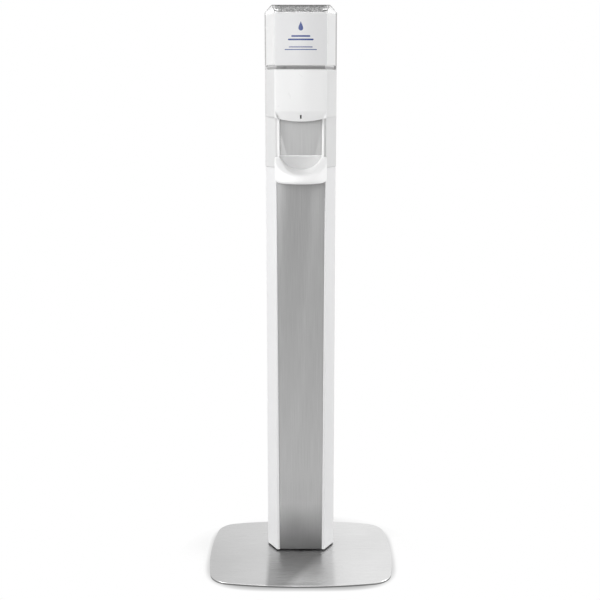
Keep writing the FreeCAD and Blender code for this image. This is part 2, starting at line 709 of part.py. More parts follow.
def release_latch():
    y0 = SHELF_FRONT_Y
    slider = box(LATCH_X - LATCH_W / 2, LATCH_X + LATCH_W / 2, y0, y0 + LATCH_L, SHELF_Z - LATCH_T - FIT, SHELF_Z - FIT)
    nose = [e for e in slider.Edges if e.BoundBox.YMax < y0 + FIT and e.BoundBox.ZMax < SHELF_Z - LATCH_T]
    slider = slider.makeChamfer(LATCH_T / 3, nose)
    grip = box(LATCH_X - LATCH_W / 2, LATCH_X + LATCH_W / 2, y0 + LATCH_L / 2, y0 + LATCH_L / 2 + LATCH_T / 2,
               SHELF_Z - 2 * LATCH_T, SHELF_Z - LATCH_T)
    return fuse([slider, grip])


# Refill


def bottle_block(inset, z0, z1):
    """Plan of the bottle moved inwards: bulged front, leaning flanks, straight back, rounded corners."""
    crease_x = CREASE_W / 2
    side = HOUSING_W / 2
    front = arc_edge(vec(-crease_x, CREASE_Y, z0), vec(0, CREASE_Y - FRONT_BULGE, z0),
                     vec(crease_x, CREASE_Y, z0))
    corners = [vec(crease_x, CREASE_Y, z0), vec(side, SHOULDER_Y, z0), vec(side, BOTTLE_BACK_Y, z0),
               vec(-side, BOTTLE_BACK_Y, z0), vec(-side, SHOULDER_Y, z0), vec(-crease_x, CREASE_Y, z0)]
    block = Part.Face(Part.Wire([front] + Part.makePolygon(corners).Edges)).extrude(vec(0, 0, z1 - z0))
    block = block.makeFillet(BOTTLE_EDGE_R, upright_edges(block, lambda x, y: True))
    if inset:
        plan = [face for face in block.Faces if face.BoundBox.ZMax < z0 + FIT][0]
        block = plan.makeOffset2D(-inset, join=2).extrude(vec(0, 0, z1 - z0))
    return block


def bottle_solid(inset):
    top = BOTTLE_TOP_Z - inset
    foot = BOTTLE_FOOT_Z + inset
    block = bottle_block(inset, foot, top)
    half = HOUSING_W / 2 - inset
    near = CREASE_Y - 2 * FRONT_BULGE
    shoulders = prism_y([(-half, foot), (half, foot), (half, top - BOTTLE_SHOULDER_Z),
                         (half - BOTTLE_SHOULDER_X, top), (BOTTLE_SHOULDER_X - half, top),
                         (-half, top - BOTTLE_SHOULDER_Z)], near, BOTTLE_BACK_Y)
    brow_y = CREASE_Y - FRONT_BULGE + inset
    brow = prism_x([(brow_y, top - BOTTLE_BROW_Z), (brow_y + BOTTLE_BROW_Y, top),
                    (brow_y + BOTTLE_BROW_Y, top + 1), (brow_y - 1, top + 1), (brow_y - 1, top - BOTTLE_BROW_Z)],
                   -HOUSING_W, HOUSING_W)
    return block.common(shoulders).cut(brow)


def refill_bottle():
    base = bottle_block(BOTTLE_BASE_INSET, BASE_FOOT_Z, BOTTLE_FOOT_Z + BOTTLE_WALL / 2)
    neck = post(0, PUMP_Y, NECK_FOOT_Z, BASE_FOOT_Z + BOTTLE_WALL, NECK_R)
    bottle = fuse([bottle_solid(0), base, neck])
    base_room = bottle_block(BOTTLE_BASE_INSET + BOTTLE_WALL, BASE_FOOT_Z + BOTTLE_WALL,
                             BOTTLE_FOOT_Z + 2 * BOTTLE_WALL)
    bore = post(0, PUMP_Y, NECK_FOOT_Z, BASE_FOOT_Z + 2 * BOTTLE_WALL, NECK_R - BOTTLE_WALL)
    return bottle.cut(fuse([bottle_solid(BOTTLE_WALL), base_room, bore]))


def gel_fill():
    gap = BOTTLE_WALL + FIT
    gel = bottle_solid(gap)
    above = box(-PLATE_W, PLATE_W, -PLATE_D, PLATE_D, GEL_LEVEL_Z, BOTTLE_TOP_Z)
    base = bottle_block(BOTTLE_BASE_INSET + gap, BASE_FOOT_Z + gap, BOTTLE_FOOT_Z + 2 * gap)
    return fuse([gel, base]).cut(above)


def refill_collar():
    """Closure of the refill: grips the neck and guides the pump stem."""
    z0 = NECK_FOOT_Z - BODY_WALL
    collar = post(0, PUMP_Y, z0, z0 + COLLAR_H - BODY_WALL, COLLAR_R)
    collar = collar.makeFillet(1.5, flat_edges(collar, z0))
    collar = collar.cut(post(0, PUMP_Y, NECK_FOOT_Z, z0 + COLLAR_H, NECK_R + FIT))
    sleeve = post(0, PUMP_Y, z0, STEM_TOP_Z + PUMP_TRAVEL + FIT, STEM_R + FIT + BODY_WALL)
    collar = fuse([collar, sleeve])
    return collar.cut(post(0, PUMP_Y, z0 - 1, STEM_TOP_Z + PUMP_TRAVEL + 1, STEM_R + FIT))


def pump_piston():
    """Stem, drive flange and nozzle, turned about the pump axis."""
    profile = [(0, NOZZLE_FOOT_Z), (NOZZLE_R, NOZZLE_FOOT_Z), (NOZZLE_R, STEM_FOOT_Z - STEM_R),
               (STEM_R, STEM_FOOT_Z), (STEM_R, FLANGE_DISC_Z), (FLANGE_DISC_R, FLANGE_DISC_Z),
               (FLANGE_DISC_R, FLANGE_DISC_Z + FLANGE_DISC_T), (STEM_R, FLANGE_DISC_Z + FLANGE_DISC_T),
               (STEM_R, STEM_TOP_Z), (0, STEM_TOP_Z)]
    face = closed_face([vec(r, PUMP_Y, z) for r, z in profile])
    turned = face.revolve(vec(0, PUMP_Y, 0), vec(0, 0, 1), 360)
    return turned.cut(post(0, PUMP_Y, NOZZLE_FOOT_Z, NOZZLE_FOOT_Z + STEM_R, NOZZLE_R / 2))


# Drive


def gear_blank(x, z, module, teeth, first_deg, y0, y1):
    """Spur gear lying in the XZ plane, with straight-flanked teeth and some backlash."""
    pitch_r = module * teeth / 2
    tip = pitch_r + GEAR_TIP * module
    root = pitch_r - GEAR_ROOT * module
    pitch = 2 * math.pi / teeth
    points = []
    for tooth in range(teeth):
        centre = math.radians(first_deg) + tooth * pitch
        for radius, share in ((root, -TOOTH_ROOT), (tip, -TOOTH_TIP), (tip, TOOTH_TIP), (root, TOOTH_ROOT)):
            angle = centre + share * pitch
            points.append((x + radius * math.cos(angle), z + radius * math.sin(angle)))
    return prism_y(points, y0, y1)


def drive_gear():
    """Large gear and rack pinion moulded as one, free on the axle."""
    wheel = gear_blank(GEAR_X, GEAR_Z, GEAR_MODULE, GEAR_TEETH, MOTOR_DIRECTION_DEG, *GEAR_FACE_Y)
    pinion = gear_blank(GEAR_X, GEAR_Z, RACK_MODULE, RACK_PINION_TEETH, 0, *RACK_FACE_Y)
    hub = pin_y(GEAR_X, GEAR_Z, RACK_FACE_Y[1] - FIT, FRAME_Y - RUN, RACK_PINION_R - 2 * RACK_MODULE)
    gear = fuse([wheel, pinion, hub])
    return gear.cut(pin_y(GEAR_X, GEAR_Z, RACK_FACE_Y[0], FRAME_Y, AXLE_R + FIT / 2))


def gear_axle():
    return pin_y(GEAR_X, GEAR_Z, RACK_FACE_Y[0] - 2, FRAME_Y + FRAME_T, AXLE_R)


def motor_pinion():
    gap_deg = MOTOR_DIRECTION_DEG + 180 + 180 / MOTOR_PINION_TEETH
    pinion = gear_blank(MOTOR_X, MOTOR_Z, GEAR_MODULE, MOTOR_PINION_TEETH, gap_deg, *GEAR_FACE_Y)
    shaft = pin_y(MOTOR_X, MOTOR_Z, RACK_FACE_Y[1] - MOTOR_L / 3, GEAR_FACE_Y[1], MOTOR_SHAFT_R)
    return fuse([pinion, shaft])


def motor_plate_y():
    return GEAR_FACE_Y[0] - RUN - BODY_WALL / 2


def drive_motor():
    front = motor_plate_y() - FIT / 3
    can = pin_y(MOTOR_X, MOTOR_Z, front - MOTOR_L, front, MOTOR_R)
    ends = [e for e in can.Edges if e.BoundBox.YMax - e.BoundBox.YMin < FIT]
    can = can.makeFillet(MOTOR_EDGE_R, ends)
    back = front - MOTOR_L
    parts = [can, pin_y(MOTOR_X, MOTOR_Z, back - MOTOR_BOSS_L, back, MOTOR_BOSS_R)]
    for side in (-1, 1):
        x = MOTOR_X + side * MOTOR_TAB_X
        parts.append(box(x - MOTOR_TAB_W / 2, x + MOTOR_TAB_W / 2, back - MOTOR_TAB_L, back,
                         MOTOR_Z - MOTOR_TAB_T / 2, MOTOR_Z + MOTOR_TAB_T / 2))
    return fuse(parts).cut(pin_y(MOTOR_X, MOTOR_Z, front - MOTOR_L / 2, front, MOTOR_SHAFT_R + FIT))


def frame_screw_places():
    return [(x, z) for x in (MOTOR_X - FRAME_SCREW_INSET, ROD_X)
            for z in (GEAR_Z - FRAME_SCREW_DROP, GEAR_Z + FRAME_SCREW_RISE)]


def mechanism_frame():
    """Back plate with four legs to the dispenser's wall and an arm that carries the motor."""
    places = frame_screw_places()
    xs = (min(x for x, z in places) - FRAME_RIM, max(x for x, z in places) + FRAME_RIM)
    zs = (min(z for x, z in places) - FRAME_RIM, max(z for x, z in places) + FRAME_RIM)
    plate = box(xs[0], xs[1], FRAME_Y, FRAME_Y + FRAME_T, zs[0], zs[1])
    through = [e for e in plate.Edges if abs(e.BoundBox.YMax - e.BoundBox.YMin - FRAME_T) < 0.01]
    plate = plate.makeFillet(FRAME_CORNER_R, through)
    parts = [plate]
    wall_y = BODY_BACK_Y - BACK_WALL_T
    for x, z in places:
        parts.append(pin_y(x, z, FRAME_Y + FRAME_T - FIT, wall_y, SCREW_R + BODY_WALL))
    seat_y = motor_plate_y()
    seat = pin_y(MOTOR_X, MOTOR_Z, seat_y, seat_y + BODY_WALL / 2, MOTOR_R + 1)
    half = MOTOR_R - BODY_WALL
    arm = box(xs[0], xs[0] + BODY_WALL, seat_y, FRAME_Y + FIT, MOTOR_Z - half, MOTOR_Z + half)
    link = box(xs[0], MOTOR_X, seat_y, seat_y + BODY_WALL / 2, MOTOR_Z - half, MOTOR_Z + half)
    frame = fuse(parts + [seat, arm, link])
    frame = frame.cut(pin_y(MOTOR_X, MOTOR_Z, seat_y, seat_y + BODY_WALL, MOTOR_PINION_R))
    frame = frame.cut(pin_y(GEAR_X, GEAR_Z, FRAME_Y, FRAME_Y + FRAME_T, AXLE_R))
    for x, z in places:
        frame = frame.cut(pin_y(x, z, FRAME_Y + FRAME_T, wall_y, SCREW_R))
    return frame


def frame_screws():
    """Screws from behind the dispenser's wall into the legs of the frame."""
    screws = []
    for x, z in frame_screw_places():
        head = pin_y(x, z, BODY_BACK_Y - SCREW_HEAD_T, BODY_BACK_Y, SCREW_HEAD_R)
        shank = pin_y(x, z, BODY_BACK_Y - BACK_WALL_T - SCREW_L, BODY_BACK_Y, SCREW_R)
        screws.append(fuse([head, shank]))
    return Part.makeCompound(screws)


def pump_actuator():
    """Fork that grips the pump flange, its two guide bosses and the rack."""
    low = FLANGE_DISC_Z - FIT - FORK_T
    high = FLANGE_DISC_Z + FLANGE_DISC_T + FIT
    reach = FLANGE_DISC_R + 4
    y0 = PUMP_Y - FLANGE_DISC_R
    y1 = PUMP_Y + FLANGE_DISC_R + RUN
    parts = [box(-reach, reach, y0, y1 + FORK_T, low, low + FORK_T),
             box(-reach, reach, y0, y1 + FORK_T, high, high + FORK_T),
             box(-reach, reach, y1, y1 + FORK_T, low, high + FORK_T)]
    for side in (-1, 1):
        boss = post(side * ROD_X, ROD_Y, low - FORK_T, high + 2 * FORK_T, ROD_R + FORK_T / 2 + FIT)
        parts.append(boss)
        parts.append(box(side * ROD_X - FORK_T / 2, side * ROD_X + FORK_T / 2, y1, ROD_Y, low, high + FORK_T))
    pitch = math.pi * RACK_MODULE
    half_rack = pitch * RACK_TEETH / 2
    bar_x = RACK_X + GEAR_ROOT * RACK_MODULE
    tip_x = RACK_X - GEAR_TIP * RACK_MODULE
    points = [(bar_x + FORK_T, GEAR_Z - half_rack), (bar_x, GEAR_Z - half_rack)]
    for tooth in range(RACK_TEETH):
        z = GEAR_Z - half_rack + (tooth + 0.5) * pitch
        points += [(bar_x, z - TOOTH_ROOT * pitch), (tip_x, z - TOOTH_TIP * pitch),
                   (tip_x, z + TOOTH_TIP * pitch), (bar_x, z + TOOTH_ROOT * pitch)]
    points += [(bar_x, GEAR_Z + half_rack), (bar_x + FORK_T, GEAR_Z + half_rack)]
    parts.append(prism_y(points, *RACK_FACE_Y))
    parts.append(box(bar_x, -reach + FIT, y1, y1 + FORK_T, low, high + FORK_T))
    actuator = fuse(parts)
    slot = fuse([box(-STEM_R - FIT, STEM_R + FIT, y0, PUMP_Y, low, high + FORK_T),
                 post(0, PUMP_Y, low, high + FORK_T, STEM_R + FIT)])
    actuator = actuator.cut(slot)
    for side in (-1, 1):
        actuator = actuator.cut(post(side * ROD_X, ROD_Y, low - FORK_T, high + 2 * FORK_T, ROD_R + FIT / 2))
    return actuator


def guide_rods():
    return Part.makeCompound([post(side * ROD_X, ROD_Y, BODY_FOOT_Z + FIT, SHELF_Z, ROD_R) for side in (-1, 1)])


# Batteries, board and sensor


def cell_places():
    for column in range(2):
        for row in range(2):
            yield CELL_X + column * CELL_PITCH_X, CELL_Y + row * CELL_PITCH_Y


def battery_holder():
    reach = CELL_R + FIT + HOLDER_WALL
    x1 = CELL_X + CELL_PITCH_X + reach
    holder = box(CELL_X - reach, x1, CELL_Y - reach, BODY_BACK_Y - BACK_WALL_T, HOLDER_Z, HOLDER_Z + CELL_L)
    holder = holder.makeFillet(3, upright_edges(holder, lambda x, y: y < CELL_Y))
    for x, y in cell_places():
        holder = holder.cut(post(x, y, HOLDER_Z + HOLDER_WALL, HOLDER_Z + CELL_L, CELL_R + FIT))
    return holder


def battery_cells():
    cells = []
    for x, y in cell_places():
        z0 = HOLDER_Z + HOLDER_WALL
        can = post(x, y, z0, z0 + CELL_L - 1.5, CELL_R)
        cells.append(fuse([can, post(x, y, z0 + CELL_L - 1.5, z0 + CELL_L, CELL_R / 3)]))
    return Part.makeCompound(cells)


def circuit_board():
    z0 = FLOOR_TOP_Z
    board = box(-BOARD_W / 2, BOARD_W / 2, BOARD_Y, BOARD_Y + BOARD_T, z0, z0 + BOARD_H)
    chip = box(-BOARD_W / 3, -BOARD_W / 6, BOARD_Y - 1.2, BOARD_Y, z0 + BOARD_H / 2, z0 + BOARD_H / 2 + 8)
    lamp = pin_y(0, LED_Z + LED_H, BOARD_Y - 3, BOARD_Y, LED_W / 2)
    return fuse([board, chip, lamp])


def sensor_window():
    plug = box(SENSOR_X - SENSOR_W / 2, SENSOR_X + SENSOR_W / 2, PUMP_Y - SENSOR_D / 2, PUMP_Y + SENSOR_D / 2,
               BODY_FOOT_Z - FIT, FLOOR_TOP_Z)
    rim = box(SENSOR_X - SENSOR_W / 2 - 1.5, SENSOR_X + SENSOR_W / 2 + 1.5, PUMP_Y - SENSOR_D / 2 - 1.5,
              PUMP_Y + SENSOR_D / 2 + 1.5, FLOOR_TOP_Z, FLOOR_TOP_Z + 1.5)
    return fuse([plug, rim])


# Hand space frame and tray


def tray_screw_places():
    return [(x, TRAY_FOOT_Z + TRAY_SCREW_UP) for x in (-TRAY_SCREW_X, TRAY_SCREW_X)]


def tray_shelf(gap):
    """Tongue of the frame under the tray, grown by the gap for the pocket that takes it."""
    half = TRAY_SHELF_W / 2 + gap
    tongue = box(-half, half, TRAY_CENTRE_Y - TRAY_R / 2 - gap, FACE_Y - FIT, TRAY_FOOT_Z,
                 TRAY_FOOT_Z + TRAY_SHELF_T + gap)
    return tongue.makeFillet(TRAY_SHELF_R, upright_edges(tongue, lambda x, y: y < FRAME_FRONT_Y))


def tray_frame():
    """Back wall behind the tray, two rails up to the dispenser and a tongue under the tray."""
    y1 = FACE_Y - FIT
    half = RAIL_OUT_W / 2
    parts = [box(-half, half, FRAME_FRONT_Y, y1, TRAY_FOOT_Z, TRAY_BACK_TOP_Z), tray_shelf(0)]
    for side in (-1, 1):
        xs = sorted((side * RAIL_IN_W / 2, side * half))
        rail = box(xs[0], xs[1], y1 - RAIL_DEPTH, y1, TRAY_RIM_BACK_Z + FIT, BODY_FOOT_Z - FIT)
        outer = upright_edges(rail, lambda x, y: y < y1 - 1)
        parts.append(rail.makeFillet(1.4, outer))
    frame = fuse(parts)
    for x, z in tray_screw_places():
        frame = frame.cut(pin_y(x, z, FRAME_FRONT_Y + FIT, y1, SCREW_R))
    return frame


def tray_screws():
    """Screws from inside the column, through the panel, into the tray frame's wall."""
    screws = []
    for x, z in tray_screw_places():
        head = pin_y(x, z, FRONT_WALL_Y, FRONT_WALL_Y + SCREW_HEAD_T, SCREW_HEAD_R)
        screws.append(fuse([head, pin_y(x, z, FRAME_FRONT_Y + FIT, FRONT_WALL_Y, SCREW_R)]))
    return Part.makeCompound(screws)


def stadium(z0, z1, r, back_y):
    """Half round at the front, straight back to the wall."""
    y = TRAY_CENTRE_Y
    front = arc_edge(vec(-r, y, z0), vec(0, y - r, z0), vec(r, y, z0))
    sides = Part.makePolygon([vec(r, y, z0), vec(r, back_y, z0), vec(-r, back_y, z0), vec(-r, y, z0)])
    return Part.Face(Part.Wire([front] + sides.Edges)).extrude(vec(0, 0, z1 - z0))


def on_outer_rim(edge):
    reach = edge.BoundBox
    outside = max(reach.XMax, -reach.XMin) > TRAY_R - FIT
    rising = reach.ZMax - reach.ZMin > FIT and reach.ZMin > TRAY_RIM_FRONT_Z - FIT
    return outside and rising and edge.CenterOfMass.y < TRAY_BACK_Y - FIT


def drip_tray():
    """Scoop with a sloping rim, a dished floor and a low kerb at the front."""
    front = TRAY_CENTRE_Y - TRAY_R
    tray = stadium(TRAY_FOOT_Z, TRAY_RIM_BACK_Z, TRAY_R, TRAY_BACK_Y)
    sky = prism_x([(TRAY_BACK_Y + 1, TRAY_RIM_BACK_Z), (front - 1, TRAY_RIM_FRONT_Z),
                   (front - 1, TRAY_RIM_BACK_Z + TRAY_R), (TRAY_BACK_Y + 1, TRAY_RIM_BACK_Z + TRAY_R)],
                  -2 * TRAY_R, 2 * TRAY_R)
    bottom = flat_edges(tray, TRAY_FOOT_Z, lambda x, y: y < TRAY_BACK_Y - 1)
    tray = tray.makeFillet(TRAY_BOTTOM_R, bottom).cut(sky)
    slope = math.radians(TRAY_FLOOR_SLOPE_DEG)
    start = vec(0, TRAY_BACK_Y + TRAY_R, TRAY_FLOOR_Z + TRAY_FLOOR_R + TRAY_R * math.tan(slope))
    barrel = Part.makeCylinder(TRAY_FLOOR_R, 3 * TRAY_R, start, vec(0, -math.cos(slope), -math.sin(slope)))
    room = stadium(TRAY_FOOT_Z, TRAY_RIM_BACK_Z + 1, TRAY_R - TRAY_RIM_T, TRAY_BACK_Y + 1)
    tray = tray.cut(barrel.common(room)).cut(tray_shelf(FIT))
    return tray.makeFillet(TRAY_RIM_R, [edge for edge in tray.Edges if on_outer_rim(edge)])


NODES = {
    "base_plate": base_plate,
    "foot_pads": foot_pads,
    "base_bolts": base_bolts,
    "spine": spine,
    "column_shell": column_shell,
    "column_screws": column_screws,
    "front_panel": front_panel,
    "upper_housing": upper_housing,
    "housing_screws": housing_screws,
    "dispenser_body": dispenser_body,
    "body_screws": body_screws,
    "front_cover": front_cover,
    "led_lens": led_lens,
    "hinge_pins": hinge_pins,
    "release_latch": release_latch,
    "refill_bottle": refill_bottle,
    "gel_fill": gel_fill,
    "refill_collar": refill_collar,
    "pump_piston": pump_piston,
    "pump_actuator": pump_actuator,
    "guide_rods": guide_rods,
    "mechanism_frame": mechanism_frame,
    "frame_screws": frame_screws,
    "drive_motor": drive_motor,
    "motor_pinion": motor_pinion,
    "drive_gear": drive_gear,
    "gear_axle": gear_axle,
    "battery_holder": battery_holder,
    "battery_cells": battery_cells,
    "circuit_board": circuit_board,
    "sensor_window": sensor_window,
    "tray_frame": tray_frame,
    "tray_screws": tray_screws,
    "drip_tray": drip_tray,
}


def main():
    os.makedirs("parts", exist_ok=True)
    for name, make in NODES.items():
        shape = make()
        if not shape.isValid():
            raise RuntimeError("invalid solid: " + name)
        shape.exportStep("parts/" + name + ".step")
        print(name, len(shape.Solids), round(shape.Volume))


main()
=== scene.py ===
import math
import bmesh
import bpy
from bpy.props import FloatProperty, FloatVectorProperty, IntProperty, PointerProperty
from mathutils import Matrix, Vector


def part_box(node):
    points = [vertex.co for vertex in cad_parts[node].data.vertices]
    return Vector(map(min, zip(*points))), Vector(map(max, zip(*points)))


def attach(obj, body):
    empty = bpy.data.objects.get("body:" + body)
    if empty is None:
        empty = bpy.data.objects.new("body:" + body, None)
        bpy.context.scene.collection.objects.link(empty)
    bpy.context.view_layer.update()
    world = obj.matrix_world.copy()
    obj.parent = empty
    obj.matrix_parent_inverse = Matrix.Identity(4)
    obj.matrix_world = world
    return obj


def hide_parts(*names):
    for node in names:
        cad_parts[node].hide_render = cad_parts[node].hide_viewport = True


bl_info = {
    "name": "Hand sanitizer floor stand",
    "version": (1, 0, 0),
    "blender": (4, 5, 0),
    "location": "View3D > Sidebar > Stand",
    "description": "Dresses the frame of a free-standing gel dispenser with its finishes and details",
    "category": "Add Mesh",
}

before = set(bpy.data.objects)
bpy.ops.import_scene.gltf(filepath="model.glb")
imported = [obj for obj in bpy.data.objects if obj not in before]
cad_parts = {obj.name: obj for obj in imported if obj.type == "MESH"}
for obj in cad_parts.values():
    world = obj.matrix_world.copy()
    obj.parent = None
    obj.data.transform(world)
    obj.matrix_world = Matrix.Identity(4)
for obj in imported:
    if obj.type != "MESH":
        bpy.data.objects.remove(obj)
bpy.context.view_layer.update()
MM = 0.001

# Lines of the dispenser that the refill, its label and its froth share, in metres
CREASE_W = 0.1116
CREASE_Y = -0.030
FRONT_BULGE = 0.008
FRONT_R = (CREASE_W ** 2 / 4 + FRONT_BULGE ** 2) / (2 * FRONT_BULGE)
SIDE_W = 0.1574
SHOULDER_Y = 0.0405
BOTTLE_WALL = 0.0015
BOTTLE_BROW = 0.024
BOTTLE_SHOULDER = (0.016, 0.012)
REFILL_TOP_Z = 1.252
REFILL_FOOT_Z = 1.118

# Clear walls of the refill: where the painted grey of each edge, which stands in for the dark of refraction
# at the edges and of shade in the seam at the foot, and the fully clear top begin and end
PAINTED_EDGE_SIDE = (SIDE_W / 2 - 3.6 * MM, SIDE_W / 2 - 1.6 * MM)
PAINTED_EDGE_TOP = (REFILL_TOP_Z - 3 * MM, REFILL_TOP_Z - 1.5 * MM)
PAINTED_EDGE_FOOT = (REFILL_FOOT_Z + 5 * MM, REFILL_FOOT_Z + 8 * MM)
CLEAR_TOP = (REFILL_TOP_Z - 18 * MM, REFILL_TOP_Z - 15 * MM)

# Froth: grid of the bed that carries the bubbles, and where the bend of the front fades in it
FROTH_ROWS = 18
FROTH_COLUMNS = 24
FROTH_BEND_D = 0.05
FROTH_BEND_END_Y = SHOULDER_Y / 4
FROTH_SEED = 11

# Label: film, drop, and bars as width, height above the floor and thickness
LABEL_R = 0.003
LABEL_OUT = 0.00005
LABEL_T = 0.00015
LABEL_COLUMNS = 24
PRINT_OUT = 0.0002
PRINT_T = 0.00008
PRINT_COLUMNS = 14
DROP_HALF_W = 0.0075
DROP_HALF_H = 0.0098
DROP_TAPER = 0.9
DROP_Z = 1.2075
DROP_STEPS = 28
BAR_ROUND = 0.45
LABEL_BARS = (
    (0.040, 1.1865, 0.0034),
    (0.054, 1.1795, 0.0034),
    (0.050, 1.1640, 0.0018),
    (0.068, 1.1588, 0.0018),
)

# Drip tray
TRAY_R = 0.057
TRAY_CENTRE_Y = -0.014
TRAY_BACK_Y = -0.001
TRAY_FOOT_Z = 0.876
TRAY_BOTTOM_R = 0.009
TRAY_RIM_BACK_Z = 0.931
TRAY_RIM_FRONT_Z = 0.893
TRAY_RIM_ROUND = 0.004
TRAY_RIM_FLAT = 0.005
TRAY_RIM_BLEND = 0.016
TRAY_FLOOR_Z = 0.903
TRAY_FLOOR_R = 0.053
TRAY_FLOOR_SLOPE = 0.14
TRAY_FLOOR_REACH = 0.96

# Rings of the drip tray, in millimetres inwards from its outline
TRAY_TOP_INSETS = (56.4, 54, 49, 42, 35, 29, 24, 20, 17, 15, 13, 11, 9, 7, 5, 3.5, 2.5, 1.5, 0.8, 0.3, 0)
TRAY_FOOT_INSETS = (25, 45, 56.4)
TRAY_ARC_STEPS = 56
TRAY_SIDE_STEPS = 5
TRAY_CORNER_STEPS = 8

# White flanges that trim the panel beside the rails of the hand space; their darker copy of the white is
# painted shade
FLANGE_IN_X = 0.048
FLANGE_OUT_X = 0.0549
FLANGE_FOOT_Z = 0.925
FLANGE_T = 0.0012

# Pan head: share of the radius and of the depth of each ring, and its cross recess in shares of both
HEAD_PROFILE = ((1.0, 0.0), (1.0, 0.35), (0.93, 0.7), (0.72, 0.93), (0.45, 1.0))
HEAD_SIDES = 24
RECESS_ARM = 0.40
RECESS_NECK = 0.14
RECESS_TAPER = 0.9
RECESS_FLOOR = 0.45

# Meshes: merging distance in metres, then angles in degrees of a flat joint and of an edge to round
MERGE = 1e-6
FLAT_ANGLE = 0.4
EDGE_ANGLE = 35

# Brushed panel: lower and upper height of each change of tone, and its factor; these paint shade that
# darkens the panel towards its foot and below the drip tray, and paint light that brightens it in the hand
# space
PANEL_PAINTED_SHADE_AND_LIGHT = ((0.125, 0.015, 0.38), (0.2, 0.87, 0.64), (0.92, 0.93, 1.27))

# Brushed plate: painted light that sweeps its tone lighter to the right, painted shade on its side face,
# and a painted shadow and reflection of the column in front of the column's foot
PLATE_PAINTED_LIGHT_X = (-0.2, 0.12)
PLATE_PAINTED_LIGHT_TONE = (0.83, 1.15)
PLATE_SIDE_SHADE_Z = (0.0042, 0.0058)
PLATE_SIDE_SHADE_TONE = 0.35
PLATE_SHADOW_HALF_W = (0.070, 0.080)
PLATE_SHADOW_SLANT = -0.5
PLATE_SHADOW_SLANT_REACH = (0.042, 0.066)
PLATE_SHADOW_SLANT_LEFT = 0.35
PLATE_SHADOW_FRONT_Y = (-0.09, -0.005)
PLATE_SHADOW_FRONT_LEFT = 0.5
PLATE_SHADOW_BACK_Y = (0.036, 0.042)
PLATE_SHADOW_TONE = 0.56

# Studio: floor with a soft shadow round the plate, and place, target and size of each lamp
FLOOR_REACH = 9.0
FLOOR_MATT = 0.68
FLOOR_GLOW = 0.42
FLOOR_STRETCH = (1.0, 1.3, 1.0)
FLOOR_FADE = (0.22, 0.29)
SHADOW_HALF_W = 0.2095
SHADOW_HALF_D = 0.1715
SHADOW_TONE = 0.5
SHADOW_RISE = (0.85, 1.3)
SHADOW_FADE = (1.1, 1.35)
LAMPS = {
    "key": ((-2.3, -1.7, 2.0), (0, 0, 0.75), (1.2, 1.6)),
    "fill": ((2.6, -0.15, 1.2), (0, 0, 0.6), (0.9, 1.8)),
    "front": ((-0.3, -2.9, 1.6), (0, 0, 0.8), (0.8, 0.8)),
}
SENSOR_W = 36.0
SHIFT_X = -0.0013
SHIFT_Y = -0.05


class FinishSettings(bpy.types.PropertyGroup):
    white: FloatVectorProperty(name="Moulded white", description="Colour of the glossy plastic mouldings",
                               default=(0.84, 0.84, 0.84), size=3, min=0, max=1, subtype="COLOR")
    column: FloatVectorProperty(name="Column white", description="Colour of the painted column",
                                default=(0.8, 0.8, 0.805), size=3, min=0, max=1, subtype="COLOR")
    panel: FloatVectorProperty(name="Brushed panel", description="Colour of the brushed front panel",
                               default=(0.48, 0.48, 0.48), size=3, min=0, max=1, subtype="COLOR")
    plate: FloatVectorProperty(name="Brushed plate", description="Colour of the brushed base plate",
                               default=(0.66, 0.66, 0.66), size=3, min=0, max=1, subtype="COLOR")
    print_blue: FloatVectorProperty(name="Label blue",
                                    description="Colour of the drop and bars on the label",
                                    default=(0.02, 0.05, 0.22), size=3, min=0, max=1, subtype="COLOR")
    grain: FloatProperty(name="Brush grain", description="Width of one brush line",
                         default=0.0011, min=0.0003, max=0.005, unit="LENGTH")


class DetailSettings(bpy.types.PropertyGroup):
    edge: FloatProperty(name="Edge round", description="Rounding of the long moulded edges",
                        default=0.0009, min=0.0002, max=0.003, unit="LENGTH")
    bubbles: IntProperty(name="Bubbles", description="Number of bubbles in the froth above the gel",
                         default=1300, min=50, max=3000)
    bubble_r: FloatProperty(name="Bubble radius", description="Largest bubble in the froth",
                            default=0.0021, min=0.0005, max=0.004, unit="LENGTH")
    label_w: FloatProperty(name="Label width", description="Width of the label on the refill",
                           default=0.1106, min=0.05, max=0.112, unit="LENGTH")
    label_foot: FloatProperty(name="Label foot", description="Height of the lower edge of the label",
                              default=1.1262, min=1.12, max=1.2, unit="LENGTH")
    label_head: FloatProperty(name="Label head", description="Height of the upper edge of the label",
                              default=1.2325, min=1.2, max=1.24, unit="LENGTH")
    screw_r: FloatProperty(name="Screw head radius", description="Radius of the pan heads on the back",
                           default=0.0038, min=0.002, max=0.006, unit="LENGTH")


class StageSettings(bpy.types.PropertyGroup):
    lens: FloatProperty(name="Lens", description="Focal length in millimetres on a 36 mm sensor",
                        default=60.1, min=20, max=300)
    distance: FloatProperty(name="Distance", description="Distance of the camera in front of the stand",
                            default=2.2, min=1, max=10, unit="LENGTH")
    height: FloatProperty(name="Height", description="Height of the camera above the floor",
                          default=1.08, min=0.2, max=4, unit="LENGTH")
    tilt: FloatProperty(name="Tilt", description="Downward tilt of the camera in degrees",
                        default=10.33, min=0, max=60)
    key: FloatProperty(name="Key lamp", description="Power of the soft lamp at the upper left",
                       default=57.0, min=0)
    fill: FloatProperty(name="Fill lamp", description="Power of the soft lamp at the right",
                        default=33.0, min=0)
    front: FloatProperty(name="Front lamp", description="Power of the soft lamp near the camera",
                         default=11.0, min=0)
    sky: FloatProperty(name="Sky", description="Brightness of the surrounding room",
                       default=0.38, min=0, max=2)


# Helpers for meshes


def settings():
    """The scene, which holds the stand's settings."""
    return bpy.context.scene


def link(name, mesh):
    piece = bpy.data.objects.new(name, mesh)
    bpy.context.scene.collection.objects.link(piece)
    return piece


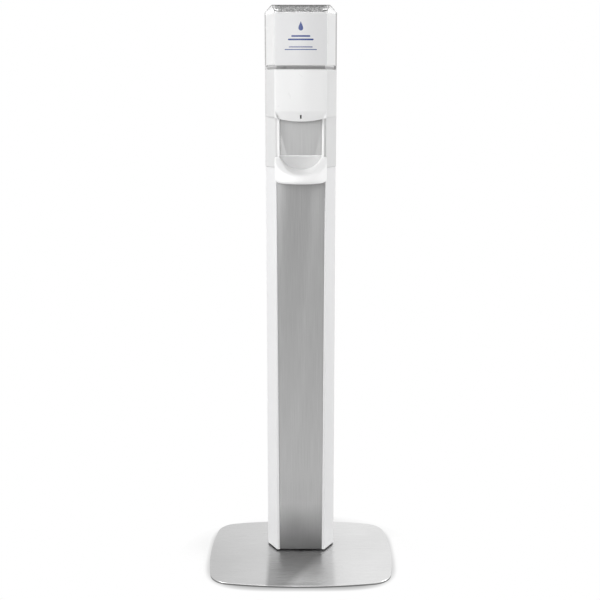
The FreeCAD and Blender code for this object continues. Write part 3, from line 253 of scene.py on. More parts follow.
def smooth(mesh, degrees=32):
    mesh.shade_smooth()
    mesh.set_sharp_from_angle(angle=math.radians(degrees))


def mesh_from(name, vertices, faces):
    mesh = bpy.data.meshes.new(name)
    mesh.from_pydata([tuple(v) for v in vertices], [], faces)
    mesh.validate()
    return mesh


def dressed(node, body, material, edge=0.0, shortest=0.02, degrees=32):
    """Joined copy of a CAD node with smooth curves; its edges over the shortest length are rounded."""
    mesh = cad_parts[node].data.copy()
    mesh.name = node + "_dressed"
    work = bmesh.new()
    work.from_mesh(mesh)
    bmesh.ops.remove_doubles(work, verts=work.verts, dist=MERGE)
    bmesh.ops.dissolve_limit(work, angle_limit=math.radians(FLAT_ANGLE), verts=work.verts, edges=work.edges)
    if edge:
        turn = math.radians(EDGE_ANGLE)
        long_edges = [e for e in work.edges if len(e.link_faces) == 2 and e.calc_length() > shortest
                      and e.calc_face_angle(0) > turn and e.is_convex]
        bmesh.ops.bevel(work, geom=long_edges, offset=edge, segments=3, profile=0.5, affect="EDGES",
                        clamp_overlap=True)
    work.to_mesh(mesh)
    work.free()
    smooth(mesh, degrees)
    mesh.materials.clear()
    mesh.materials.append(material)
    piece = link(node + "_dressed", mesh)
    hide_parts(node)
    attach(piece, body)
    return piece


def finish_node(node, material):
    """Gives a CAD node that keeps its own mesh its finish."""
    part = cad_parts[node]
    part.data.materials.clear()
    part.data.materials.append(material)


def add_piece(name, mesh, body, material, degrees=32):
    """Links a finished mesh and gives it its finish, slot and body."""
    smooth(mesh, degrees)
    if material is not None:
        mesh.materials.clear()
        mesh.materials.append(material)
    piece = link(name, mesh)
    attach(piece, body)
    return piece


def islands(node):
    """Lowest and highest corner of each separate solid of a CAD node."""
    work = bmesh.new()
    work.from_mesh(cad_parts[node].data)
    bmesh.ops.remove_doubles(work, verts=work.verts, dist=MERGE)
    left = set(work.verts)
    found = []
    while left:
        group = [left.pop()]
        points = []
        while group:
            vertex = group.pop()
            points.append(vertex.co.copy())
            for e in vertex.link_edges:
                other = e.other_vert(vertex)
                if other in left:
                    left.discard(other)
                    group.append(other)
        low = Vector([min(p[i] for p in points) for i in range(3)])
        high = Vector([max(p[i] for p in points) for i in range(3)])
        found.append((low, high))
    work.free()
    return sorted(found, key=lambda pair: tuple(pair[0]))


def front_y(x, out=0.0):
    """Depth of the bulged front of the dispenser at a sideways place, moved outwards."""
    centre = CREASE_Y - FRONT_BULGE + FRONT_R
    return centre - math.sqrt((FRONT_R + out) ** 2 - x * x)


def bent_film(name, outline, out, thick, columns):
    """Thin film on the bulged front: an outline in X and Z, filled, bent and given a thickness."""
    work = bmesh.new()
    ring = [work.verts.new((x, 0, z)) for x, z in outline]
    work.faces.new(ring)
    xs = [p[0] for p in outline]
    for step in range(1, columns):
        x = min(xs) + (max(xs) - min(xs)) * step / columns
        geom = work.verts[:] + work.edges[:] + work.faces[:]
        bmesh.ops.bisect_plane(work, geom=geom, plane_co=(x, 0, 0), plane_no=(1, 0, 0))
    grown = bmesh.ops.extrude_face_region(work, geom=work.faces[:])
    front = {item for item in grown["geom"] if isinstance(item, bmesh.types.BMVert)}
    for vertex in work.verts:
        lift = out + thick if vertex in front else out
        vertex.co.y = front_y(vertex.co.x, lift)
    bmesh.ops.recalc_face_normals(work, faces=work.faces)
    mesh = bpy.data.meshes.new(name)
    work.to_mesh(mesh)
    work.free()
    return mesh


def rounded_outline(x0, x1, z0, z1, r, steps=6):
    """Rectangle in X and Z with round corners, as a list of points."""
    points = []
    corners = ((x1 - r, z0 + r, -90), (x1 - r, z1 - r, 0), (x0 + r, z1 - r, 90), (x0 + r, z0 + r, 180))
    for cx, cz, start in corners:
        for step in range(steps + 1):
            angle = math.radians(start + 90 * step / steps)
            points.append((cx + r * math.cos(angle), cz + r * math.sin(angle)))
    return points


def tray_top(x, y, inset):
    """Height of the tray's upper face: a sloping trough that rises smoothly into the rim."""
    rim = TRAY_RIM_FRONT_Z + (y - TRAY_CENTRE_Y + TRAY_R) * (TRAY_RIM_BACK_Z - TRAY_RIM_FRONT_Z) / (
        TRAY_BACK_Y - TRAY_CENTRE_Y + TRAY_R)
    aside = min(abs(x), TRAY_FLOOR_R * TRAY_FLOOR_REACH)
    trough = (TRAY_FLOOR_Z + (y - TRAY_BACK_Y) * TRAY_FLOOR_SLOPE + TRAY_FLOOR_R
              - math.sqrt(max(0.0, TRAY_FLOOR_R ** 2 - aside ** 2)))
    share = min(1.0, max(0.0, (inset - TRAY_RIM_FLAT) / TRAY_RIM_BLEND))
    share = share * share * (3 - 2 * share)
    fall = TRAY_RIM_ROUND - math.sqrt(max(0.0, TRAY_RIM_ROUND ** 2 - max(0.0, TRAY_RIM_ROUND - inset) ** 2))
    return rim + (min(trough, rim) - rim) * share - fall


def tray_plan(r):
    """Half-round outline of the tray, from the left of its back round the front to the right."""
    deep = TRAY_CENTRE_Y - TRAY_BACK_Y
    plan = [(-r, TRAY_BACK_Y + deep * i / TRAY_SIDE_STEPS) for i in range(TRAY_SIDE_STEPS)]
    for i in range(TRAY_ARC_STEPS + 1):
        angle = math.pi * i / TRAY_ARC_STEPS
        plan.append((-r * math.cos(angle), TRAY_CENTRE_Y - r * math.sin(angle)))
    plan += [(r, TRAY_CENTRE_Y - deep * (i + 1) / TRAY_SIDE_STEPS) for i in range(TRAY_SIDE_STEPS)]
    return plan


def tray_mesh():
    """Closed scoop: rings from the middle of the top to the middle of the underside, then its back."""
    foot = TRAY_FOOT_Z + TRAY_BOTTOM_R
    rings = [(inset * MM, None) for inset in TRAY_TOP_INSETS]
    for share in (1.0, 0.5, 0.0):
        rings.append((0.0, foot + (TRAY_RIM_FRONT_Z - 2 * TRAY_RIM_ROUND - foot) * share))
    for step in range(1, TRAY_CORNER_STEPS + 1):
        angle = math.pi / 2 * step / TRAY_CORNER_STEPS
        rings.append((TRAY_BOTTOM_R * (1 - math.cos(angle)), foot - TRAY_BOTTOM_R * math.sin(angle)))
    rings += [(inset * MM, TRAY_FOOT_Z) for inset in TRAY_FOOT_INSETS]
    work = bmesh.new()
    rows = []
    for inset, z in rings:
        row = []
        for x, y in tray_plan(TRAY_R - inset):
            row.append(work.verts.new((x, y, tray_top(x, y, inset) if z is None else z)))
        rows.append(row)
    last = len(rows[0]) - 1
    for upper, lower in zip(rows, rows[1:]):
        for i in range(last):
            work.faces.new((upper[i], upper[i + 1], lower[i + 1], lower[i]))
    for row in (rows[0], rows[-1]):
        for i in range(last // 2):
            if last - i - 1 > i + 1:
                work.faces.new((row[i], row[i + 1], row[last - i - 1], row[last - i]))
            else:
                work.faces.new((row[i], row[i + 1], row[last - i]))
    bmesh.ops.holes_fill(work, edges=[e for e in work.edges if e.is_boundary], sides=0)
    bmesh.ops.recalc_face_normals(work, faces=work.faces)
    mesh = bpy.data.meshes.new("drip_tray_scoop")
    work.to_mesh(mesh)
    work.free()
    return mesh


def pan_head(radius, depth):
    """Pan head facing backwards with a cross recess, centred on its seat."""
    work = bmesh.new()
    turns = [2 * math.pi * i / HEAD_SIDES for i in range(HEAD_SIDES)]
    loops = []
    for share, rise in HEAD_PROFILE:
        loops.append([work.verts.new((radius * share * math.cos(angle), depth * rise,
                                      radius * share * math.sin(angle))) for angle in turns])
    for low, high in zip(loops, loops[1:]):
        for i in range(HEAD_SIDES):
            j = (i + 1) % HEAD_SIDES
            work.faces.new((low[i], low[j], high[j], high[i]))
    sunk = []
    for i, angle in enumerate(turns):
        arm = RECESS_ARM if i % 6 in (0, 1, 5) else RECESS_NECK
        sunk.append(work.verts.new((radius * arm * math.cos(angle), depth, radius * arm * math.sin(angle))))
    deep = [work.verts.new((v.co.x * RECESS_TAPER, depth * RECESS_FLOOR, v.co.z * RECESS_TAPER))
            for v in sunk]
    for i in range(HEAD_SIDES):
        j = (i + 1) % HEAD_SIDES
        work.faces.new((loops[-1][i], loops[-1][j], sunk[j], sunk[i]))
        work.faces.new((sunk[i], sunk[j], deep[j], deep[i]))
    work.faces.new(deep)
    work.faces.new(loops[0][::-1])
    bmesh.ops.recalc_face_normals(work, faces=work.faces)
    mesh = bpy.data.meshes.new("pan_head")
    work.to_mesh(mesh)
    work.free()
    return mesh


# Geometry Nodes


def node_tree(name, inputs):
    tree = bpy.data.node_groups.new(name, "GeometryNodeTree")
    tree.interface.new_socket(name="Geometry", in_out="INPUT", socket_type="NodeSocketGeometry")
    for label, kind in inputs:
        tree.interface.new_socket(name=label, in_out="INPUT", socket_type=kind)
    tree.interface.new_socket(name="Geometry", in_out="OUTPUT", socket_type="NodeSocketGeometry")
    start = tree.nodes.new("NodeGroupInput")
    end = tree.nodes.new("NodeGroupOutput")
    return tree, start, end


def close_tree(tree, start, end, instances):
    """Ends a tree in Realize Instances and Set Material, as the export needs."""
    real = tree.nodes.new("GeometryNodeRealizeInstances")
    paint = tree.nodes.new("GeometryNodeSetMaterial")
    tree.links.new(instances, real.inputs["Geometry"])
    tree.links.new(real.outputs["Geometry"], paint.inputs["Geometry"])
    tree.links.new(start.outputs["Material"], paint.inputs["Material"])
    tree.links.new(paint.outputs["Geometry"], end.inputs["Geometry"])


def baked(carrier_mesh, tree, values, name):
    """Runs a tree on a carrier mesh and returns the plain mesh that it makes."""
    carrier = link(name + "_carrier", carrier_mesh)
    modifier = carrier.modifiers.new("Tree", "NODES")
    modifier.node_group = tree
    for item in tree.interface.items_tree:
        if item.item_type == "SOCKET" and item.in_out == "INPUT" and item.name in values:
            modifier[item.identifier] = values[item.name]
    bpy.context.view_layer.update()
    evaluated = carrier.evaluated_get(bpy.context.evaluated_depsgraph_get())
    mesh = bpy.data.meshes.new_from_object(evaluated)
    mesh.name = name
    carrier.modifiers.remove(modifier)
    bpy.data.objects.remove(carrier)
    return mesh


def froth_tree():
    """Bubbles of random size scattered over the carrier's faces."""
    tree, start, end = node_tree("Froth", (("Density", "NodeSocketFloat"), ("Smallest", "NodeSocketFloat"),
                                           ("Largest", "NodeSocketFloat"), ("Seed", "NodeSocketInt"),
                                           ("Material", "NodeSocketMaterial")))
    scatter = tree.nodes.new("GeometryNodeDistributePointsOnFaces")
    # The number sockets of Random Value are inputs 2 and 3 and output 1
    size = tree.nodes.new("FunctionNodeRandomValue")
    ball = tree.nodes.new("GeometryNodeMeshIcoSphere")
    place = tree.nodes.new("GeometryNodeInstanceOnPoints")
    ball.inputs["Radius"].default_value = 1.0
    ball.inputs["Subdivisions"].default_value = 2
    tree.links.new(start.outputs["Geometry"], scatter.inputs["Mesh"])
    tree.links.new(start.outputs["Density"], scatter.inputs["Density"])
    tree.links.new(start.outputs["Seed"], scatter.inputs["Seed"])
    tree.links.new(start.outputs["Smallest"], size.inputs[2])
    tree.links.new(start.outputs["Largest"], size.inputs[3])
    tree.links.new(start.outputs["Seed"], size.inputs["Seed"])
    tree.links.new(scatter.outputs["Points"], place.inputs["Points"])
    tree.links.new(ball.outputs["Mesh"], place.inputs["Instance"])
    tree.links.new(size.outputs[1], place.inputs["Scale"])
    close_tree(tree, start, end, place.outputs["Instances"])
    return tree


def repeat_tree():
    """One object placed on each vertex of the carrier."""
    tree, start, end = node_tree("Repeat", (("Item", "NodeSocketObject"),
                                            ("Material", "NodeSocketMaterial")))
    item = tree.nodes.new("GeometryNodeObjectInfo")
    place = tree.nodes.new("GeometryNodeInstanceOnPoints")
    tree.links.new(start.outputs["Item"], item.inputs["Object"])
    tree.links.new(start.outputs["Geometry"], place.inputs["Points"])
    tree.links.new(item.outputs["Geometry"], place.inputs["Instance"])
    close_tree(tree, start, end, place.outputs["Instances"])
    return tree


def repeated(item_mesh, points, material, name):
    """One plain mesh with a copy of the item at each point."""
    item = link(name + "_item", item_mesh)
    carrier = mesh_from(name + "_points", points, [])
    mesh = baked(carrier, repeat_tree(), {"Item": item, "Material": material}, name)
    bpy.data.objects.remove(item)
    return mesh


# Materials


class Shader:
    """Short way to add and join the nodes of one material."""

    def __init__(self, name):
        self.material = bpy.data.materials.new(name)
        self.material.use_nodes = True
        self.tree = self.material.node_tree
        self.skin = self.tree.nodes["Principled BSDF"]
        self.output = self.tree.nodes["Material Output"]
        self.place = self.tree.nodes.new("ShaderNodeTexCoord").outputs["Object"]

    def node(self, kind, **values):
        made = self.tree.nodes.new(kind)
        for key, value in values.items():
            setattr(made, key, value)
        return made

    def join(self, source, target):
        self.tree.links.new(source, target)

    def mapped(self, scale):
        mapping = self.node("ShaderNodeMapping")
        mapping.inputs["Scale"].default_value = scale
        self.join(self.place, mapping.inputs["Vector"])
        return mapping.outputs["Vector"]

    def noise(self, scale, detail=3.0, roughness=0.5, vector=None):
        made = self.node("ShaderNodeTexNoise")
        made.inputs["Scale"].default_value = scale
        made.inputs["Detail"].default_value = detail
        made.inputs["Roughness"].default_value = roughness
        self.join(self.place if vector is None else vector, made.inputs["Vector"])
        return made.outputs["Fac"]

    def spread(self, source, low, high, start=0.3, end=0.7):
        """Maps a value from one range to another."""
        made = self.node("ShaderNodeMapRange")
        made.inputs["From Min"].default_value = start
        made.inputs["From Max"].default_value = end
        made.inputs["To Min"].default_value = low
        made.inputs["To Max"].default_value = high
        self.join(source, made.inputs["Value"])
        return made.outputs["Result"]

    def mix(self, factor, first, second):
        """Mixes two colours by a value; each colour is a socket or a plain colour."""
        # The colour sockets of Mix are inputs 6 and 7 and output 2
        made = self.node("ShaderNodeMix", data_type="RGBA")
        self.join(factor, made.inputs["Factor"])
        for colour, place in ((first, 6), (second, 7)):
            if isinstance(colour, bpy.types.NodeSocket):
                self.join(colour, made.inputs[place])
            else:
                made.inputs[place].default_value = (*colour, 1)
        return made.outputs[2]

    def product(self, first, second):
        made = self.node("ShaderNodeMath", operation="MULTIPLY")
        self.join(first, made.inputs[0])
        self.join(second, made.inputs[1])
        return made.outputs[0]

    def product_colour(self, first, second):
        made = self.node("ShaderNodeMix", data_type="RGBA", blend_type="MULTIPLY")
        made.inputs["Factor"].default_value = 1.0
        self.join(first, made.inputs[6])
        self.join(second, made.inputs[7])
        return made.outputs[2]

    def bump(self, height, strength, distance):
        made = self.node("ShaderNodeBump")
        made.inputs["Strength"].default_value = strength
        made.inputs["Distance"].default_value = distance
        self.join(height, made.inputs["Height"])
        self.join(made.outputs["Normal"], self.skin.inputs["Normal"])

    def set(self, **values):
        for key, value in values.items():
            self.skin.inputs[key.replace("_", " ")].default_value = value

    def axes(self):
        """X, Y and Z of the Object coordinates."""
        parts = self.node("ShaderNodeSeparateXYZ")
        self.join(self.place, parts.inputs["Vector"])
        return parts.outputs["X"], parts.outputs["Y"], parts.outputs["Z"]

    def absolute(self, value):
        made = self.node("ShaderNodeMath", operation="ABSOLUTE")
        self.join(value, made.inputs[0])
        return made.outputs[0]


def grey(value):
    return (value, value, value)


def tone(colour, factor):
    return tuple(min(1.0, channel * factor) for channel in colour)


def moulded(name, colour, roughness, coat=0.0):
    """Moulded plastic: faint clouding, uneven sheen and a very fine skin."""
    made = Shader(name)
    cloud = made.spread(made.noise(9.0, 4.0), 0.0, 1.0)
    made.join(made.mix(cloud, tone(colour, 0.985), colour), made.skin.inputs["Base Color"])
    skin = made.noise(900.0, 2.0)
    sheen = made.spread(made.noise(60.0), roughness * 0.9, roughness * 1.15)
    made.join(sheen, made.skin.inputs["Roughness"])
    made.bump(skin, 0.05, 0.0001)
    made.set(Coat_Weight=coat, Coat_Roughness=0.12)
    return made.material


def painted(name, colour, roughness):
    """Powder paint with a fine orange-peel skin."""
    made = Shader(name)
    cloud = made.spread(made.noise(5.0, 4.0), 0.0, 1.0)
    made.join(made.mix(cloud, tone(colour, 0.98), colour), made.skin.inputs["Base Color"])
    sheen = made.spread(made.noise(120.0), roughness * 0.9, roughness * 1.1)
    made.join(sheen, made.skin.inputs["Roughness"])
    made.bump(made.noise(650.0, 2.0), 0.08, 0.0002)
    return made.material


def brushed(name, colour, along, grain, low, high, painted_shade_and_light):
    """Brushed metal: fine streaks along one axis, and between the heights of each band a change of tone
    that paints shade where it darkens and light where it brightens.
    """
    made = Shader(name)
    fine = 1.0 / grain
    scale = [fine, fine, fine]
    scale["XYZ".index(along)] = fine / 90
    streak = made.noise(1.0, 5.0, 0.65, made.mapped(scale))
    coarse = made.noise(1.0, 3.0, 0.5, made.mapped([s / 6 for s in scale]))
    metal = made.mix(made.spread(streak, 0.0, 1.0), tone(colour, 0.86), tone(colour, 1.12))
    metal = made.mix(made.spread(coarse, 0.0, 0.35), metal, tone(colour, 0.93))
    z = made.axes()[2]
    for start, end, factor in painted_shade_and_light:
        # Painted shade and light: a factor below 1 paints shade, a factor above 1 paints light
        shade = made.mix(made.spread(z, 0.0, 1.0, start, end), grey(1), grey(factor))
        metal = made.product_colour(metal, shade)
    made.join(metal, made.skin.inputs["Base Color"])
    made.join(made.spread(streak, low, high), made.skin.inputs["Roughness"])
    made.bump(streak, 0.12, 0.0001)
    made.set(Metallic=1.0, Anisotropic=0.55)
    return made.material


def plate_finish(name, colour, grain):
    """Brushed steel with painted light that makes it lighter to the right, a painted shadow and reflection
    of the column that darkens it in front of the column's foot, and painted shade on its side face.
    """
    made = Shader(name)
    fine = 1.0 / grain
    x, y, z = made.axes()
    streak = made.noise(1.0, 5.0, 0.65, made.mapped((fine / 90, fine, fine)))
    metal = made.mix(made.spread(streak, 0.0, 1.0), tone(colour, 0.93), tone(colour, 1.06))
    # Painted light: the plate is made lighter to the right
    painted_light_sweep = made.spread(x, 0.0, 1.0, *PLATE_PAINTED_LIGHT_X)
    shade = made.mix(painted_light_sweep, grey(PLATE_PAINTED_LIGHT_TONE[0]), grey(PLATE_PAINTED_LIGHT_TONE[1]))
    cloud = made.mix(made.spread(made.noise(4.0, 2.0), 0.0, 1.0), grey(0.94), grey(1.04))
    metal = made.product_colour(made.product_colour(metal, shade), cloud)
    # Painted shadow and reflection of the column: a dark zone in front of the column's foot
    slant = made.node("ShaderNodeMath", operation="MULTIPLY_ADD")
    made.join(y, slant.inputs[0])
    slant.inputs[1].default_value = PLATE_SHADOW_SLANT
    made.join(x, slant.inputs[2])
    across = made.product(made.spread(made.absolute(x), 1.0, 0.0, *PLATE_SHADOW_HALF_W),
                          made.spread(slant.outputs[0], 1.0, PLATE_SHADOW_SLANT_LEFT, *PLATE_SHADOW_SLANT_REACH))
    front = made.spread(y, 1.0, PLATE_SHADOW_FRONT_LEFT, *PLATE_SHADOW_FRONT_Y)
    before = made.spread(y, 1.0, 0.0, *PLATE_SHADOW_BACK_Y)
    painted_shadow = made.product(made.product(across, front), before)
    metal = made.mix(painted_shadow, metal, tone(colour, PLATE_SHADOW_TONE))
    # Painted shade: the side face of the plate is made darker
    metal = made.mix(made.spread(z, 0.0, 1.0, *PLATE_SIDE_SHADE_Z), tone(colour, PLATE_SIDE_SHADE_TONE), metal)
    made.join(metal, made.skin.inputs["Base Color"])
    made.join(made.spread(streak, 0.24, 0.36), made.skin.inputs["Roughness"])
    made.bump(streak, 0.08, 0.0001)
    made.set(Metallic=1.0, Anisotropic=0.4)
    return made.material


def clear(name, ior, roughness, through, rim, density, tint):
    """Clear plastic or gel: painted grey along its outer edges, standing in for the dark that refraction
    gives at the edges and shade gives in the seam at the foot, and fully clear at the top, where the froth
    is.
    """
    made = Shader(name)
    ripple = made.noise(35.0, 2.0)
    made.join(made.spread(ripple, roughness, roughness * 2.0), made.skin.inputs["Roughness"])
    made.bump(ripple, 0.05, 0.0004)
    x, _, z = made.axes()
    # Painted shade: grey at the side, top and foot edges of the refill
    skin = made.mix(made.spread(made.absolute(x), 0.0, 1.0, *PAINTED_EDGE_SIDE), grey(1), rim)
    skin = made.mix(made.spread(z, 0.0, 1.0, *PAINTED_EDGE_TOP), skin, rim)
    skin = made.mix(made.spread(z, 1.0, 0.0, *PAINTED_EDGE_FOOT), skin, rim)
    made.join(skin, made.skin.inputs["Base Color"])
    made.join(made.spread(z, through, 1.0, *CLEAR_TOP), made.skin.inputs["Transmission Weight"])
    made.set(IOR=ior)
    depth = made.node("ShaderNodeVolumeAbsorption")
    depth.inputs["Color"].default_value = (*tint, 1)
    depth.inputs["Density"].default_value = density
    made.join(depth.outputs["Volume"], made.output.inputs["Volume"])
    return made.material


def metal_part(name, colour, roughness):
    """Plain plated metal with fine specks in its sheen."""
    made = Shader(name)
    speck = made.noise(220.0, 3.0)
    blend = made.spread(speck, 0.0, 1.0)
    made.join(made.mix(blend, tone(colour, 0.85), colour), made.skin.inputs["Base Color"])
    made.join(made.spread(speck, roughness * 0.8, roughness * 1.3), made.skin.inputs["Roughness"])
    made.set(Metallic=1.0)
    return made.material


def board_green():
    """Solder mask with a fine net of raised tracks."""
    made = Shader("board_green")
    lines = made.node("ShaderNodeTexVoronoi", feature="DISTANCE_TO_EDGE")
    lines.inputs["Scale"].default_value = 260.0
    made.join(made.place, lines.inputs["Vector"])
    track = made.spread(lines.outputs["Distance"], 1.0, 0.0, 0.02, 0.07)
    made.join(made.mix(track, (0.02, 0.13, 0.06), (0.05, 0.26, 0.12)), made.skin.inputs["Base Color"])
    made.bump(track, 0.3, 0.0001)
    made.set(Roughness=0.35)
    return made.material


def cell_film():
    """Dark printed film of the cells, with a copper-coloured band at the top."""
    made = Shader("cell_film")
    band = made.spread(made.axes()[2], 0.0, 1.0, 1.0695, 1.0700)
    made.join(made.mix(band, (0.03, 0.035, 0.045), (0.55, 0.33, 0.12)), made.skin.inputs["Base Color"])
    made.join(made.spread(made.noise(300.0), 0.2, 0.35), made.skin.inputs["Roughness"])
    return made.material


def label_paper(colour):
    """Pearly film of the label."""
    made = Shader("label_film")
    fleck = made.noise(240.0, 3.0)
    blend = made.spread(fleck, 0.0, 1.0)
    made.join(made.mix(blend, tone(colour, 0.985), colour), made.skin.inputs["Base Color"])
    made.join(made.spread(made.noise(40.0), 0.28, 0.4), made.skin.inputs["Roughness"])
    made.bump(fleck, 0.03, 0.0001)
    return made.material


def froth_skin():
    """Glossy bubbles with grey and white flecks that paint the dark specks and highlights of the froth."""
    made = Shader("froth_bubbles")
    fleck = made.spread(made.noise(240.0, 3.0), 0.0, 1.0)
    # Painted shade and painted highlights: grey and white flecks on the bubbles
    made.join(made.mix(fleck, grey(0.3), grey(1.0)), made.skin.inputs["Base Color"])
    made.set(Roughness=0.06, IOR=1.33, Transmission_Weight=0.3)
    return made.material


def rubber(name):
    """Matt rubber with a coarse skin."""
    made = Shader(name)
    grain = made.noise(400.0, 3.0)
    made.join(made.mix(made.spread(grain, 0.0, 1.0), (0.02, 0.02, 0.02), (0.04, 0.04, 0.042)),
              made.skin.inputs["Base Color"])
    made.bump(grain, 0.4, 0.0003)
    made.set(Roughness=0.75)
    return made.material


MATERIALS = {}


def make_materials():
    finish = settings().stand_finish
    white = tuple(finish.white)
    MATERIALS.update({
        "white_plastic": moulded("white_plastic", white, 0.3, coat=0.3),
        # Painted shade: a darker copy of the moulded white for the head and the dispenser body
        "housing_plastic": moulded("housing_plastic", tone(white, 0.84), 0.34, coat=0.2),
        # Painted shade: a darker copy of the moulded white for the flanges beside the rails
        "flange_plastic": moulded("flange_plastic", tone(white, 0.74), 0.4),
        # Painted light: a lighter copy of the moulded white for the drip tray and the frame of the hand
        # space
        "tray_plastic": moulded("tray_plastic", tone(white, 1.13), 0.5),
        "white_column": painted("white_column", tuple(finish.column), 0.38),
        "brushed_panel": brushed("brushed_panel", tuple(finish.panel), "Z", finish.grain,
                                 low=0.34, high=0.5, painted_shade_and_light=PANEL_PAINTED_SHADE_AND_LIGHT),
        "brushed_plate": plate_finish("brushed_plate", tuple(finish.plate), finish.grain),
        "clear_plastic": clear("clear_plastic", ior=1.46, roughness=0.015, through=0.3, rim=grey(0.4),
                               density=0.2, tint=(0.5, 0.52, 0.54)),
        "clear_gel": clear("clear_gel", ior=1.36, roughness=0.01, through=0.05, rim=grey(0.55),
                           density=0.02, tint=(0.8, 0.84, 0.88)),
        "froth": froth_skin(),
        "label": label_paper((0.73, 0.73, 0.735)),
        "print": moulded("label_print", tuple(finish.print_blue), 0.35, coat=0.2),
        "dark_plastic": moulded("dark_plastic", (0.018, 0.018, 0.02), 0.16, coat=0.5),
        "grey_plastic": moulded("grey_plastic", (0.3, 0.31, 0.33), 0.45),
        "spine_steel": painted("spine_steel", (0.08, 0.08, 0.085), 0.5),
        "zinc_steel": metal_part("zinc_steel", (0.62, 0.63, 0.65), 0.28),
        "pad_rubber": rubber("pad_rubber"),
        "board_green": board_green(),
        "cell_case": cell_film(),
    })


# Pieces


class STAND_OT_base(bpy.types.Operator):
    """Brushed base plate, its rubber pads and the bolts under it"""
    bl_idname = "stand.base"
    bl_label = "Base plate"

    def execute(self, context):
        dressed("base_plate", "root", MATERIALS["brushed_plate"], degrees=40)
        dressed("foot_pads", "root", MATERIALS["pad_rubber"])
        finish_node("base_bolts", MATERIALS["zinc_steel"])
        return {"FINISHED"}


class STAND_OT_column(bpy.types.Operator):
    """Painted column, brushed panel and the steel spine inside"""
    bl_idname = "stand.column"
    bl_label = "Column"

    def execute(self, context):
        edge = settings().stand_detail.edge
        dressed("column_shell", "root", MATERIALS["white_column"], edge, shortest=0.3)
        dressed("front_panel", "root", MATERIALS["brushed_panel"], edge / 2,
                shortest=0.05)
        dressed("spine", "root", MATERIALS["spine_steel"])
        return {"FINISHED"}


class STAND_OT_head(bpy.types.Operator):
    """Moulded head of the column and the dispenser body in front of it"""
    bl_idname = "stand.head"
    bl_label = "Head and dispenser body"

    def execute(self, context):
        edge = settings().stand_detail.edge
        plastic = MATERIALS["housing_plastic"]
        dressed("upper_housing", "root", plastic, edge, shortest=0.03)
        dressed("dispenser_body", "root", plastic, edge / 2, shortest=0.03)
        dressed("sensor_window", "root", MATERIALS["dark_plastic"])
        return {"FINISHED"}


class STAND_OT_cover(bpy.types.Operator):
    """Front cover with its dark indicator lens"""
    bl_idname = "stand.cover"
    bl_label = "Front cover"

    def execute(self, context):
        edge = settings().stand_detail.edge
        dressed("front_cover", "cover", MATERIALS["white_plastic"], edge / 2, degrees=22)
        dressed("led_lens", "cover", MATERIALS["dark_plastic"])
        finish_node("hinge_pins", MATERIALS["zinc_steel"])
        dressed("release_latch", "latch", MATERIALS["grey_plastic"])
        return {"FINISHED"}


class STAND_OT_refill(bpy.types.Operator):
    """Clear refill, the gel in it and its closure"""
    bl_idname = "stand.refill"
    bl_label = "Refill"

    def execute(self, context):
        dressed("refill_bottle", "root", MATERIALS["clear_plastic"], degrees=28)
        dressed("gel_fill", "root", MATERIALS["clear_gel"], degrees=28)
        dressed("refill_collar", "root", MATERIALS["white_plastic"])
        return {"FINISHED"}


class STAND_OT_froth(bpy.types.Operator):
    """Bubbles that float on the gel under the top of the refill"""
    bl_idname = "stand.froth"
    bl_label = "Froth"

    def execute(self, context):
        detail = settings().stand_detail
        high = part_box("gel_fill")[1]
        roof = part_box("refill_bottle")[1].z - BOTTLE_WALL - detail.bubble_r
        foot = high.z + detail.bubble_r
        front = CREASE_Y - FRONT_BULGE + BOTTLE_WALL + 2 * detail.bubble_r
        back = high.y - 2 * detail.bubble_r
        points = []
        for row in range(FROTH_ROWS + 1):
            share = row / FROTH_ROWS
            climb = min(1.0, share * 2)
            z = foot + (roof - foot) * climb
            y = front + BOTTLE_BROW * climb + (back - front - BOTTLE_BROW) * max(0, share * 2 - 1)
            half = SIDE_W / 2 - (SHOULDER_Y - y) * (SIDE_W - CREASE_W) / 2 / (SHOULDER_Y - CREASE_Y)
            clip = max(0.0, z - (roof - BOTTLE_SHOULDER[1])) * BOTTLE_SHOULDER[0] / BOTTLE_SHOULDER[1]
            half = min(half, SIDE_W / 2) - clip - BOTTLE_WALL - 2 * detail.bubble_r
            fade = 1 - (y - front) / FROTH_BEND_D
            for column in range(FROTH_COLUMNS + 1):
                x = half * (2 * column / FROTH_COLUMNS - 1)
                bend = 0.0
                if y < FROTH_BEND_END_Y:
                    bend = (front_y(min(abs(x), CREASE_W / 2)) - front_y(0)) * fade
                points.append((x, y + bend, z))
        faces = []
        for row in range(FROTH_ROWS):
            for column in range(FROTH_COLUMNS):
                a = row * (FROTH_COLUMNS + 1) + column
                faces.append((a, a + 1, a + FROTH_COLUMNS + 2, a + FROTH_COLUMNS + 1))
        carrier = mesh_from("froth_bed", points, faces)
        area = sum(polygon.area for polygon in carrier.polygons)
        values = {"Density": detail.bubbles / area, "Smallest": detail.bubble_r / 3,
                  "Largest": detail.bubble_r, "Seed": FROTH_SEED, "Material": MATERIALS["froth"]}
        mesh = baked(carrier, froth_tree(), values, "froth")
        add_piece("froth", mesh, "root", None, degrees=80)
        return {"FINISHED"}


